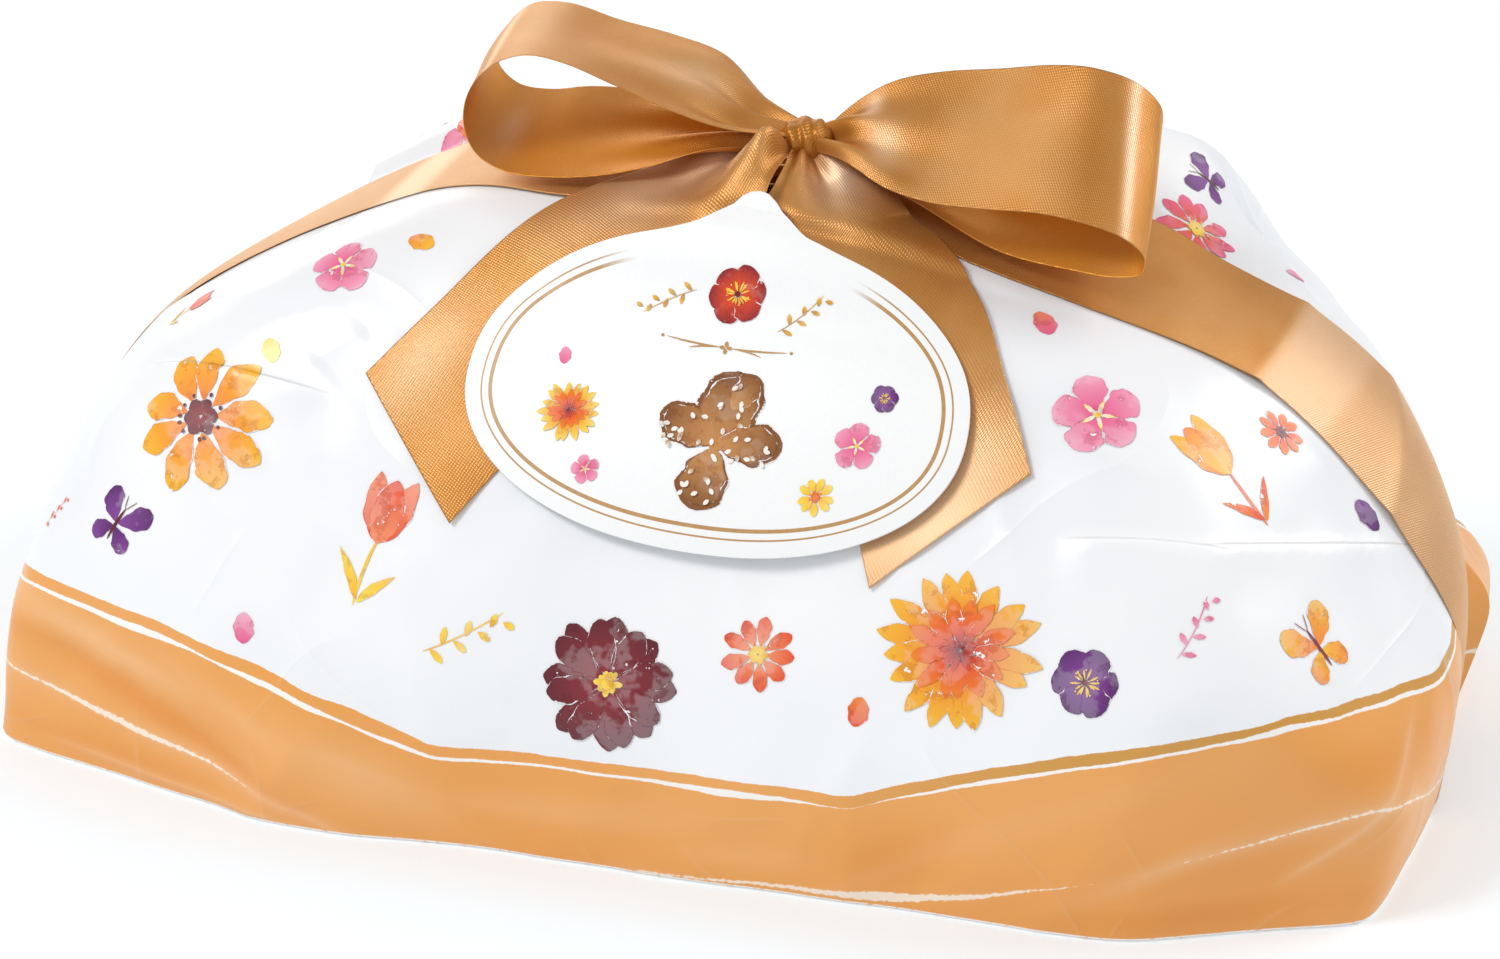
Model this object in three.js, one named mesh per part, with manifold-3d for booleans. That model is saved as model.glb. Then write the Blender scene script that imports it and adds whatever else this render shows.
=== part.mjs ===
// Hand-wrapped festive loaf: a film pack, a satin ribbon round it lengthwise, its bow, and an oval card label.
// Millimetres, +Z up. The origin is on the floor, below the middle of the pack's box. +X is its right, -Y its front.
import * as THREE from 'three';
import { mergeVertices } from 'three/addons/utils/BufferGeometryUtils.js';
import Module from 'manifold-3d';

const wasm = await Module();
wasm.setup();

// The pack is shaped round its heart, a point of the floor, which this moves away from the origin.
const heart = new THREE.Vector3(2.84, -1.66, 0);

// The film is pulled over the loaf in soft flat faces. Each face has the way it looks (degrees round from +X),
// its lean (degrees, 0 is upright and 90 is level) and its distance from the heart.
const filmFaces = {
  front: [272.5, 0, 100.5],
  frontLeft: [259.5, 0, 119],
  frontRight: [294.5, -1.5, 135.5],
  rightEnd: [352, -14, 173.5],
  rightDrawnIn: [10, -4.5, 173],
  rightRear: [29, 20.5, 174.5],
  backRight: [65, 21, 161],
  back: [90, 0, 106],
  backLeft: [104, 0, 123],
  leftCorner: [153, 0, 194],
  leftEnd: [185, 2, 182.5],
  leftNose: [207, 0, 195.5],
  leftBrow: [181, 28, 184],
  leftSlope: [182, 47, 171],
  leftRoof: [182, 66, 153],
  leftFrontBrow: [222, 38, 173],
  rightBrow: [13, 45, 192],
  rightSlope: [14, 65, 162.5],
  rightRoof: [316, 71, 143],
  frontBelly: [270, 18, 110],
  frontSlope: [271, 36, 112],
  frontCurve: [270, 49, 125],
  frontRoof: [268, 62, 137],
  rightFrontBrow: [334, 36.5, 169],
  backSlope: [90, 40, 130],
  rightFold: [28, 64.5, 166.5],
  backLeftBrow: [135, 40, 158],
  crown: [0, 90, 141],
};
// The p-norm's power: soft edges above, crisp ones at the foot, up to about this slope from the heart.
const filmRounding = 26;
const footCrispness = 34;
const footSlope = 0.25;

// A stiffer fold of film stands behind the ribbon on the right. Its lower faces end inside the pack.
const foldFaces = {
  end: [356.5, 28, 149.5],
  top: [315.5, 67.5, 140.5],
  left: [180, 82, 134],
  leftBack: [150, 50, 124],
  back: [90, 40, 138],
  innerRight: [0, 0, 152],
  innerFront: [270, 0, 25],
  lowBack: [90, 15, 108],
  innerBack: [90, 0, 97],
  innerCorner: [58, 0, 128],
  innerLeft: [180, 0, 25],
};
const foldRounding = 40;

// A low ear of folded film stands out behind the ribbon at the right end.
const earFaces = {
  end: [8, -18, 167.5],
  top: [14, 52, 142],
  front: [285, 0, 8],
  back: [80, 0, 100],
  innerLeft: [180, 0, 25],
  lid: [0, 90, 48],
};
const joinRounding = 60;

// film mesh
const filmColumns = 96;
const filmRings = 26;
const footInset = 3;
const footRise = 2.4;

// ribbon round the pack
const ribbonWidth = 42;
const ribbonFrontEdge = -22;
const ribbonSunk = 0.6;
const ribbonProud = 0.2;
const ribbonRoom = 0.4;
const ribbonUnderside = 0.7;
const ribbonStations = 72;
const ribbonDrift = 5;
const driftFrom = 56;
const driftTo = 26;

// bow
const strapThickness = 1;
const knotCentre = new THREE.Vector3(14, -4, 150.6);
const knotRadii = new THREE.Vector3(8.5, 9.5, 7.8);
const tailLift = 1.7;

// label
const labelHalfWidth = 61;
const labelUpperHeight = 42.4;
const labelLowerHeight = 35.2;
const labelFullness = 0.92;
const labelNeckRise = 13;
const labelNeckReach = 11.6;
const labelTilt = -1.5;
const labelCentre = new THREE.Vector3(9.5, -60, 103);
const labelLift = 3.3;
const labelNeckLift = 6.5;
const labelThickness = 0.8;

const radians = Math.PI / 180;

// unit vector that looks round by `turn` degrees and up by `lean` degrees
function looking(turn, lean) {
  const level = Math.cos(lean * radians);
  return new THREE.Vector3(
    Math.cos(turn * radians) * level,
    Math.sin(turn * radians) * level,
    Math.sin(lean * radians),
  );
}

function makeFaces(list) {
  return Object.values(list).map(([turn, lean, distance]) => ({ normal: looking(turn, lean), distance }));
}

const film = makeFaces(filmFaces);
const fold = makeFaces(foldFaces);
const ear = makeFaces(earFaces);

// 1 on the rounded body, less inside it: the p-norm of how far the point is along each face's distance
function bodyGauge(point, faces, rounding) {
  let sum = 0;
  for (const { normal, distance } of faces) {
    sum += Math.max(0, point.dot(normal) / distance) ** rounding;
  }
  return sum ** (1 / rounding);
}

// the power for the film's main body: highest at the floor
function filmPower(point) {
  const slope = point.z / Math.hypot(point.x, point.y);
  return filmRounding + footCrispness * Math.exp(-((slope / footSlope) ** 2));
}

// 1 on the film of the whole pack, in proportion to the distance from the heart: the three bodies joined
function packGauge(point) {
  const gauges = [
    bodyGauge(point, film, filmPower(point)),
    bodyGauge(point, fold, foldRounding),
    bodyGauge(point, ear, foldRounding),
  ];
  return gauges.reduce((sum, gauge) => sum + gauge ** -joinRounding, 0) ** (-1 / joinRounding);
}

// outward normal of the film at a point on it, evened out over a few millimetres so that it turns gently
function filmNormal(point) {
  const step = 7;
  const slope = ['x', 'y', 'z'].map((axis) => {
    const ahead = point.clone();
    const behind = point.clone();
    ahead[axis] += step;
    behind[axis] -= step;
    return packGauge(ahead) - packGauge(behind);
  });
  return new THREE.Vector3(...slope).normalize();
}

// the point moved straight away from the heart on to the film, then lifted off it
function onFilm(point, lift) {
  const place = point.clone().divideScalar(packGauge(point));
  return place.addScaledVector(filmNormal(place), lift);
}

// closed solid from rows of vertices: each row is a closed ring, and both ends are fanned from their middles
function solidFromRings(rings) {
  const positions = [];
  const index = [];
  const count = rings[0].length;
  for (const ring of rings) {
    for (const point of ring) positions.push(...point.toArray());
  }
  for (let r = 0; r < rings.length - 1; r += 1) {
    for (let c = 0; c < count; c += 1) {
      const a = r * count + c;
      const b = r * count + ((c + 1) % count);
      index.push(a, b, b + count, a, b + count, a + count);
    }
  }
  const capEnd = (ring, first, flip) => {
    const middle = positions.length / 3;
    const centre = ring.reduce((sum, p) => sum.add(p), new THREE.Vector3()).divideScalar(count);
    positions.push(...centre.toArray());
    for (let c = 0; c < count; c += 1) {
      const a = first + c;
      const b = first + ((c + 1) % count);
      if (flip) index.push(middle, b, a);
      else index.push(middle, a, b);
    }
  };
  capEnd(rings[0], 0, true);
  capEnd(rings[rings.length - 1], (rings.length - 1) * count, false);
  const geometry = new THREE.BufferGeometry();
  geometry.setAttribute('position', new THREE.Float32BufferAttribute(positions, 3));
  geometry.setIndex(index);
  return geometry;
}

function toManifold(geometry) {
  const bare = geometry.clone();
  bare.deleteAttribute('normal');
  bare.deleteAttribute('uv');
  const merged = mergeVertices(bare, 1e-4);
  const solid = new wasm.Manifold(new wasm.Mesh({
    numProp: 3,
    vertProperties: new Float32Array(merged.attributes.position.array),
    triVerts: new Uint32Array(merged.index.array),
  }));
  return solid;
}

function fromManifold(solid) {
  const mesh = solid.getMesh();
  const geometry = new THREE.BufferGeometry();
  geometry.setAttribute('position', new THREE.BufferAttribute(new Float32Array(mesh.vertProperties), 3));
  geometry.setIndex(Array.from(mesh.triVerts));
  return geometry;
}

// the film pack: a flat foot with a turned-in edge, then rings that rise to the crown
function packSolid() {
  const rings = [];
  const ringAt = (rise, inset, floorHeight) => {
    const ring = [];
    for (let c = 0; c < filmColumns; c += 1) {
      const point = onFilm(looking((360 * c) / filmColumns, rise), 0);
      const level = Math.hypot(point.x, point.y);
      point.x *= (level - inset) / level;
      point.y *= (level - inset) / level;
      if (floorHeight !== undefined) point.z = floorHeight;
      ring.push(point);
    }
    return ring;
  };
  rings.push(ringAt(0, footInset, 0));
  rings.push(ringAt(0, footInset * 0.3, footRise * 0.3));
  rings.push(ringAt(0, 0, footRise));
  for (let r = 1; r < filmRings; r += 1) {
    rings.push(ringAt((90 * r) / filmRings, 0));
  }
  return solidFromRings(rings);
}

// where the film is at a set y, seen from the foot's middle line at `rise` degrees in the XZ plane
function filmAtY(rise, y) {
  const along = new THREE.Vector3(Math.cos(rise * radians), 0, Math.sin(rise * radians));
  let near = 0;
  let far = 260;
  for (let step = 0; step < 40; step += 1) {
    const middle = (near + far) / 2;
    const point = along.clone().multiplyScalar(middle);
    point.y = y;
    if (packGauge(point) < 1) near = middle;
    else far = middle;
  }
  const found = along.multiplyScalar(near);
  found.y = y;
  return found;
}

// how far back the ribbon has slid towards the right end
function ribbonSlide(rise) {
  return ribbonDrift * (1 - THREE.MathUtils.smoothstep(rise, driftTo, driftFrom));
}

// one closed run round the pack, close to an XZ plane: over the film, then flat below the foot, sunk by `depth`
function ringRun(y, depth, underside) {
  const run = [];
  for (let s = 0; s <= ribbonStations; s += 1) {
    const rise = (180 * s) / ribbonStations;
    const point = filmAtY(rise, y + ribbonSlide(rise));
    const out = filmNormal(point);
    out.y = 0;
    out.normalize();
    point.addScaledVector(out, -depth);
    const atFloor = s === 0 || s === ribbonStations;
    point.z = atFloor ? underside : Math.max(point.z, underside);
    run.push(point);
  }
  return run;
}

// a hoop round the pack between two depths and two undersides, as wide as its list of y values
function hoopSolid(edges, outer, inner) {
  const sections = edges.map((y) => [ringRun(y, ...outer), ringRun(y, ...inner)]);
  const count = sections[0][0].length;
  const positions = [];
  const index = [];
  for (const pair of sections) {
    for (const run of pair) {
      for (const point of run) positions.push(...point.toArray());
    }
  }
  const at = (column, layer, station) => (column * 2 + layer) * count + (station % count);
  const quad = (a, b, c, d) => index.push(a, c, b, a, d, c);
  const last = sections.length - 1;
  for (let s = 0; s < count; s += 1) {
    for (let c = 0; c < last; c += 1) {
      quad(at(c, 0, s), at(c, 0, s + 1), at(c + 1, 0, s + 1), at(c + 1, 0, s));
      quad(at(c, 1, s), at(c + 1, 1, s), at(c + 1, 1, s + 1), at(c, 1, s + 1));
    }
    quad(at(0, 0, s), at(0, 1, s), at(0, 1, s + 1), at(0, 0, s + 1));
    quad(at(last, 0, s), at(last, 0, s + 1), at(last, 1, s + 1), at(last, 1, s));
  }
  const geometry = new THREE.BufferGeometry();
  geometry.setAttribute('position', new THREE.Float32BufferAttribute(positions, 3));
  geometry.setIndex(index);
  return geometry;
}

function spread(from, to, pieces) {
  return Array.from({ length: pieces + 1 }, (_, i) => from + ((to - from) * i) / pieces);
}

// a strap between two edge curves, thickened both ways along its own face, as rings round its section
function strapSolid(firstEdge, secondEdge, stations, columns, thickness) {
  const grid = spread(0, 1, stations).map((t) => {
    const a = firstEdge.getPoint(t);
    const b = secondEdge.getPoint(t);
    return spread(0, 1, columns).map((w) => a.clone().lerp(b, w));
  });
  return thickenGrid(grid, thickness);
}

// a closed solid round a grid of points, with half the thickness on each side
function thickenGrid(grid, thickness) {
  const rows = grid.length;
  const columns = grid[0].length;
  const pick = (r, c) => grid[Math.min(Math.max(r, 0), rows - 1)][Math.min(Math.max(c, 0), columns - 1)];
  const normals = grid.map((row, r) => row.map((_, c) => {
    const along = pick(r + 1, c).clone().sub(pick(r - 1, c));
    const across = pick(r, c + 1).clone().sub(pick(r, c - 1));
    return across.cross(along).normalize();
  }));
  const rings = grid.map((row, r) => {
    const top = row.map((point, c) => point.clone().addScaledVector(normals[r][c], thickness / 2));
    const bottom = row.map((point, c) => point.clone().addScaledVector(normals[r][c], -thickness / 2));
    return [...top, ...bottom.reverse()];
  });
  const geometry = solidFromRings(rings);
  return geometry;
}

// smooth curve through hand-placed stations
function through(stations) {
  const points = stations.map(([x, y, z]) => new THREE.Vector3(x, y, z));
  return new THREE.CatmullRomCurve3(points, false, 'centripetal');
}

// the loop on the left lies flat: its ribbon's width points away from the viewer
const leftLoop = {
  near: [
    [12, -8, 152], [-3, -18, 156], [-15, -20, 160], [-30, -20, 165.5], [-42, -20, 169.5], [-52, -20, 170.5],
    [-61, -20, 167], [-67, -20, 160], [-68.5, -20, 152], [-65.5, -20, 144.5], [-58, -20, 140.5],
    [-46, -20, 140], [-35, -20, 141.5], [-22, -19, 145], [-8, -14, 149], [10, -8, 149.5],
  ],
  far: [
    [12, 1, 152], [-1, 11, 155], [-14, 18, 162.5], [-28, 20, 165.5], [-42, 20, 168], [-56, 20, 171],
    [-66, 20, 169.5], [-73, 20, 162], [-74.5, 19, 154.5], [-69, 18, 149.5], [-60, 18, 148.5],
    [-50, 18, 150], [-39, 17, 151], [-25, 15, 151.5], [-7, 8, 151], [10, 0, 150],
  ],
};

// the loop on the right leans back on its lower edge
const rightLoop = {
  near: [
    [16, -8, 151], [28, -18, 152], [39, -23, 148.5], [50, -24, 146.5], [63, -24, 146.5], [76, -24, 147],
    [88, -24, 145.5], [97, -24, 143], [101.5, -23, 138.5], [100.5, -22, 134], [94, -21, 132], [85, -20, 132],
    [66, -19, 134], [44, -17, 143], [18, -8, 149.5],
  ],
  far: [
    [16, 1, 152.5], [25, 3, 160], [33, 6, 164.5], [44, 8, 167.5], [58, 8, 170], [71, 8, 172],
    [81, 8, 172], [91, 9, 169], [96.5, 11, 163], [96, 13, 157], [91, 14, 153], [83, 15, 151],
    [66, 16, 151], [44, 13, 152], [18, 1, 150.5],
  ],
};

// each tail: places above the film in plan, with the lift off the film and the width there, and the slant of its end
const leftTail = {
  places: [
    [10, -6, 9, 13], [3, -12, 7.5, 28], [-9, -22, 4, 37], [-29, -38.5, tailLift, 42], [-46, -57.5, tailLift, 42],
    [-66.3, -76.6, tailLift, 42],
  ],
  slant: 0.062,
};
const rightTail = {
  places: [
    [17, -7, 9, 13], [22, -14, 7, 27], [28.5, -25.5, 4, 37], [44, -37.3, tailLift, 42], [57.7, -56, tailLift, 42],
    [73.1, -77.8, tailLift, 42],
  ],
  slant: -0.083,
};

// the height of the film over a place in plan
function filmOver(x, y) {
  let low = 0;
  let high = 200;
  for (let step = 0; step < 40; step += 1) {
    const middle = (low + high) / 2;
    if (packGauge(new THREE.Vector3(x, y, middle)) < 1) low = middle;
    else high = middle;
  }
  return new THREE.Vector3(x, y, low);
}

// a tail that lies along the film: its centre line, then points across it put back on the film.
// The slant shortens the side away from its sign, in proportion to the way along.
function tailSolid({ places, slant }, stations, columns) {
  const centre = through(places.map(([x, y]) => filmOver(x, y).toArray()));
  const extras = through(places.map(([, , lift, width]) => [lift, width, 0]));
  const grid = spread(0, 1, stations).map((t) => spread(-0.5, 0.5, columns).map((w) => {
    const reach = t * (1 - Math.abs(slant) * (0.5 - Math.sign(slant) * w));
    const middle = centre.getPoint(reach);
    const along = centre.getTangent(reach);
    const side = filmNormal(onFilm(middle, 0)).cross(along).normalize();
    const { x: lift, y: width } = extras.getPoint(reach);
    return onFilm(middle.clone().addScaledVector(side, w * width), lift);
  }));
  return thickenGrid(grid, strapThickness);
}

function bowSolid() {
  const knot = new THREE.SphereGeometry(1, 20, 14);
  knot.scale(knotRadii.x, knotRadii.y, knotRadii.z);
  knot.translate(knotCentre.x, knotCentre.y, knotCentre.z);
  const pieces = [
    strapSolid(through(leftLoop.near), through(leftLoop.far), 44, 3, strapThickness),
    strapSolid(through(rightLoop.near), through(rightLoop.far), 44, 3, strapThickness),
    tailSolid(leftTail, 22, 6),
    tailSolid(rightTail, 22, 6),
  ];
  let bow = toManifold(knot);
  for (const piece of pieces) bow = bow.add(toManifold(piece));
  return fromManifold(bow);
}

// the card: an oval with a short neck, bent to lie along the film over the tails
function labelSolid() {
  const rimPoints = 56;
  const steps = 6;
  const out = filmNormal(onFilm(labelCentre, 0));
  const acrossLevel = new THREE.Vector3(0, 0, 1).cross(out).normalize();
  const across = acrossLevel.applyAxisAngle(out, labelTilt * radians);
  const up = out.clone().cross(across);
  const middle = onFilm(labelCentre, 0);
  const place = (u, v, lift) => {
    const point = middle.clone().addScaledVector(across, u).addScaledVector(up, v);
    const towardsKnot = THREE.MathUtils.smoothstep(v, labelUpperHeight * 0.45, labelUpperHeight * 1.15);
    return onFilm(point, lift + labelNeckLift * towardsKnot);
  };
  const rim = (angle) => {
    const swell = (value) => Math.sign(value) * Math.abs(value) ** labelFullness;
    const upper = Math.sin(angle) > 0;
    const u = labelHalfWidth * swell(Math.cos(angle));
    const v = (upper ? labelUpperHeight : labelLowerHeight) * swell(Math.sin(angle));
    const neck = upper ? labelNeckRise * Math.exp(-((u / labelNeckReach) ** 2)) : 0;
    return [u, v + neck];
  };
  const rings = [];
  const ringAt = (scale, lift) => spread(0, 2 * Math.PI, rimPoints).slice(0, -1).map((angle) => {
    const [u, v] = rim(angle);
    return place(u * scale, v * scale, lift);
  });
  for (let s = 1; s <= steps; s += 1) rings.push(ringAt(s / steps, labelLift - labelThickness / 2));
  for (let s = steps; s >= 1; s -= 1) rings.push(ringAt(s / steps, labelLift + labelThickness / 2));
  return solidFromRings(rings);
}

const white = { color: 0xf1f1f2, roughness: 0.28, metalness: 0 };
const satin = { color: 0xc98c4c, roughness: 0.45, metalness: 0 };
const card = { color: 0xfbfaf8, roughness: 0.4, metalness: 0 };

function named(name, geometry, look) {
  const mesh = new THREE.Mesh(geometry, new THREE.MeshStandardMaterial(look));
  mesh.name = name;
  return mesh;
}

function build() {
  const edges = (room) => spread(ribbonFrontEdge - room, ribbonFrontEdge + ribbonWidth + room, 3);
  const channel = hoopSolid(
    edges(ribbonRoom),
    [-12, -12],
    [ribbonSunk + ribbonRoom, ribbonUnderside + ribbonSunk + ribbonProud + ribbonRoom],
  );
  const ribbon = hoopSolid(
    edges(0),
    [-ribbonProud, ribbonUnderside],
    [ribbonSunk, ribbonUnderside + ribbonSunk + ribbonProud],
  );
  const wrapper = toManifold(packSolid()).subtract(toManifold(channel));
  const pack = new THREE.Group();
  pack.position.copy(heart);
  pack.add(named('wrapper', fromManifold(wrapper), white));
  pack.add(named('ribbon_band', ribbon, satin));
  pack.add(named('bow', bowSolid(), satin));
  pack.add(named('label', labelSolid(), card));
  const scene = new THREE.Group();
  scene.add(pack);
  return scene;
}

export default build();
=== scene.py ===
# Festive loaf wrapped as a gift: printed film, a satin ribbon tied in a bow, and an oval card label
import math

import bpy
import numpy as np
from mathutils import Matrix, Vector


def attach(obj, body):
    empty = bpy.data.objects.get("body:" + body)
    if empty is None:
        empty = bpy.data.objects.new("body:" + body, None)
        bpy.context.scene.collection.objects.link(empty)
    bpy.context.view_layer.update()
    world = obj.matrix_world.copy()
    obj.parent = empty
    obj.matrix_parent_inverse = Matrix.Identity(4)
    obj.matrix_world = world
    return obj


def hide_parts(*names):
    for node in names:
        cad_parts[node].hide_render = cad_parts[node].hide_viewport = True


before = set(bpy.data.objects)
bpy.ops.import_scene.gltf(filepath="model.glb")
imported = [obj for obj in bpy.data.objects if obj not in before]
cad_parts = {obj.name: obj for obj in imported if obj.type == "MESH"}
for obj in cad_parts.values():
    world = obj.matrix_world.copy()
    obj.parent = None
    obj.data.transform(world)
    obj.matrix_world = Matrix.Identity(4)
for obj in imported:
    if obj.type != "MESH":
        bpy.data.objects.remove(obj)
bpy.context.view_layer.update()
mm = 0.001
print("frame loaded")


# camera and light

viewPlan = {
    "azimuth": 18,
    "elevation": 25,
    "distance": 1.0,
    "target": (0.00284, -0.00766, 0.060),
    "lens": 96,
    "sensor": 36,
    "world": 0.57,
    "floorSize": 6.0,
    "floorDrop": 0.0002,
}

lightPlan = {
    "key": {"at": (-0.75, -0.75, 1.3), "size": (0.6, 0.45), "power": 11},
    "fill": {"at": (0.9, -1.3, 0.9), "size": (1.2, 0.9), "power": 1.0},
    "rim": {"at": (-0.75, 1.15, 0.42), "size": (1.1, 0.5), "power": 3},
    "side": {"at": (0.95, 0.55, 0.95), "size": (0.7, 0.6), "power": 6.5},
}


def lookingTo(azimuth, elevation):
    # unit vector from the target back to a viewer at this azimuth and elevation
    turn, rise = math.radians(azimuth), math.radians(elevation)
    level = math.cos(rise)
    return Vector((math.sin(turn) * level, -math.cos(turn) * level, math.sin(rise)))


def placeCamera():
    # at its distance from the target, looking at it
    data = bpy.data.cameras.new("camera")
    data.lens = viewPlan["lens"]
    data.sensor_width = viewPlan["sensor"]
    camera = bpy.data.objects.new("camera", data)
    back = lookingTo(viewPlan["azimuth"], viewPlan["elevation"])
    camera.location = Vector(viewPlan["target"]) + back * viewPlan["distance"]
    camera.rotation_euler = (-back).to_track_quat("-Z", "Y").to_euler()
    bpy.context.scene.collection.objects.link(camera)
    bpy.context.scene.camera = camera


def placeLight(name, plan):
    # a rectangle that faces the camera's target
    data = bpy.data.lights.new(name, "AREA")
    data.shape = "RECTANGLE"
    data.size, data.size_y = plan["size"]
    data.energy = plan["power"]
    light = bpy.data.objects.new(name, data)
    light.location = plan["at"]
    toTarget = Vector(viewPlan["target"]) - light.location
    light.rotation_euler = toTarget.to_track_quat("-Z", "Y").to_euler()
    bpy.context.scene.collection.objects.link(light)


def placeWorld():
    # plain white from all round
    world = bpy.data.worlds.new("studio")
    world.use_nodes = True
    background = world.node_tree.nodes["Background"]
    background.inputs["Color"].default_value = (1, 1, 1, 1)
    background.inputs["Strength"].default_value = viewPlan["world"]
    bpy.context.scene.world = world


placeCamera()
placeWorld()
for lightName, light in lightPlan.items():
    placeLight(lightName, light)
bpy.context.scene.view_settings.view_transform = "Standard"
print("camera and light placed")


# shader helpers

class Wire:
    # one output socket; arithmetic on it adds Math nodes
    def __init__(self, shader, socket):
        self.shader = shader
        self.socket = socket

    def maths(self, operation, *values):
        inputs = dict(enumerate(values))
        return self.shader.add("ShaderNodeMath", {"operation": operation}, inputs)

    def __add__(self, other):
        return self.maths("ADD", self, other)

    def __radd__(self, other):
        return self.maths("ADD", other, self)

    def __sub__(self, other):
        return self.maths("SUBTRACT", self, other)

    def __rsub__(self, other):
        return self.maths("SUBTRACT", other, self)

    def __mul__(self, other):
        return self.maths("MULTIPLY", self, other)

    def __rmul__(self, other):
        return self.maths("MULTIPLY", other, self)

    def size(self):
        return self.maths("ABSOLUTE", self)

    def sine(self):
        return self.maths("SINE", self)

    def fading(self, width):
        # 1 where the value is 0, dying away on both sides: e to the minus size over width
        return self.maths("EXPONENT", self.size() * (-1 / width))

    def least(self, other):
        return self.maths("MINIMUM", self, other)

    def most(self, other):
        return self.maths("MAXIMUM", self, other)

    def rising(self, low, high):
        # 0 below low and 1 above high, with a smooth step between
        inputs = {"Value": self, "From Min": low, "From Max": high}
        settings = {"interpolation_type": "SMOOTHSTEP"}
        return self.shader.add("ShaderNodeMapRange", settings, inputs)


class Shader:
    # a material's nodes, all added by the one method
    def __init__(self, name):
        self.material = bpy.data.materials.new(name)
        self.material.use_nodes = True
        self.tree = self.material.node_tree
        self.tree.nodes.clear()

    def add(self, kind, settings=None, inputs=None, output=0):
        # one node: its settings first, then what feeds its sockets; gives back one of its outputs
        node = self.tree.nodes.new(kind)
        for key, value in (settings or {}).items():
            setattr(node, key, value)
        for key, value in (inputs or {}).items():
            self.feed(node.inputs[key], value)
        return Wire(self, node.outputs[output]) if node.outputs else None

    def feed(self, socket, value):
        # a link where the value is a wire, else a plain value; a colour of three parts is made opaque
        if isinstance(value, Wire):
            self.tree.links.new(value.socket, socket)
        elif isinstance(value, tuple) and socket.type == "RGBA" and len(value) == 3:
            socket.default_value = (*value, 1)
        else:
            socket.default_value = value

    def attribute(self, name, output="Fac"):
        return self.add("ShaderNodeAttribute", {"attribute_name": name}, output=output)

    def objectSpot(self):
        return self.add("ShaderNodeTexCoord", output="Object")

    def axis(self, where, name):
        return self.add("ShaderNodeSeparateXYZ", {}, {0: where}, output=name)

    def runAndAcross(self):
        # the two parts of the UV map, in metres along and across
        uv = self.add("ShaderNodeUVMap", {"uv_map": "UVMap"})
        return self.axis(uv, "X"), self.axis(uv, "Y")

    def vector(self, operation, *values, output=0):
        settings = {"operation": operation}
        return self.add("ShaderNodeVectorMath", settings, dict(enumerate(values)), output)

    def dot(self, first, second):
        return self.vector("DOT_PRODUCT", first, second, output="Value")

    def noise(self, where, scale, detail=2.0, roughness=0.5):
        inputs = {"Vector": where, "Scale": scale, "Detail": detail, "Roughness": roughness}
        return self.add("ShaderNodeTexNoise", {}, inputs)

    def streaks(self, x, y, detail=2.0, roughness=0.5):
        # noise on a place made of two numbers, so that it can be drawn out along one of them
        where = self.add("ShaderNodeCombineXYZ", {}, {0: x, 1: y, 2: 0.0})
        return self.noise(where, 1.0, detail, roughness)

    def mix(self, amount, first, second, blend="MIX"):
        settings = {"data_type": "RGBA", "blend_type": blend}
        return self.add("ShaderNodeMix", settings, {0: amount, 6: first, 7: second}, output=2)

    def bump(self, height, distance, strength):
        inputs = {"Height": height, "Distance": distance, "Strength": strength}
        return self.add("ShaderNodeBump", {}, inputs)

    def finish(self, inputs):
        surface = self.add("ShaderNodeBsdfPrincipled", {}, inputs)
        self.add("ShaderNodeOutputMaterial", {}, {"Surface": surface})
        return self.material


# mesh helpers

def unit(vectors):
    # each vector over its own length
    return vectors / np.linalg.norm(vectors, axis=-1, keepdims=True)


def smoothStep(values, low, high):
    # 0 below low, 1 above high, 3t^2 - 2t^3 between
    t = np.clip((values - low) / (high - low), 0, 1)
    return t * t * (3 - 2 * t)


def gridCorners(rows, columns, wrap):
    # corner indices of the quads of a grid; with wrap the last column joins the first
    row = np.arange(rows - 1)[:, None] * columns
    column = np.arange(columns if wrap else columns - 1)[None, :]
    after = (column + 1) % columns
    corners = [row + column, row + after, row + columns + after, row + columns + column]
    return np.stack(corners, -1).reshape(-1, 4)


def poleFans(rows, columns):
    # triangles that close a wrapped grid on two poles, the first and second point after the grid's own
    around = np.arange(columns)
    after = (around + 1) % columns
    last = (rows - 1) * columns
    pole = np.full(columns, rows * columns)
    low = np.stack([pole, after, around], 1)
    high = np.stack([last + around, last + after, pole + 1], 1)
    return np.concatenate([low, high])


def runAlong(path):
    # distance along a path of points, from 0 at its first
    steps = np.linalg.norm(np.diff(path, axis=0), axis=1)
    return np.concatenate([[0], np.cumsum(steps)])


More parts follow.
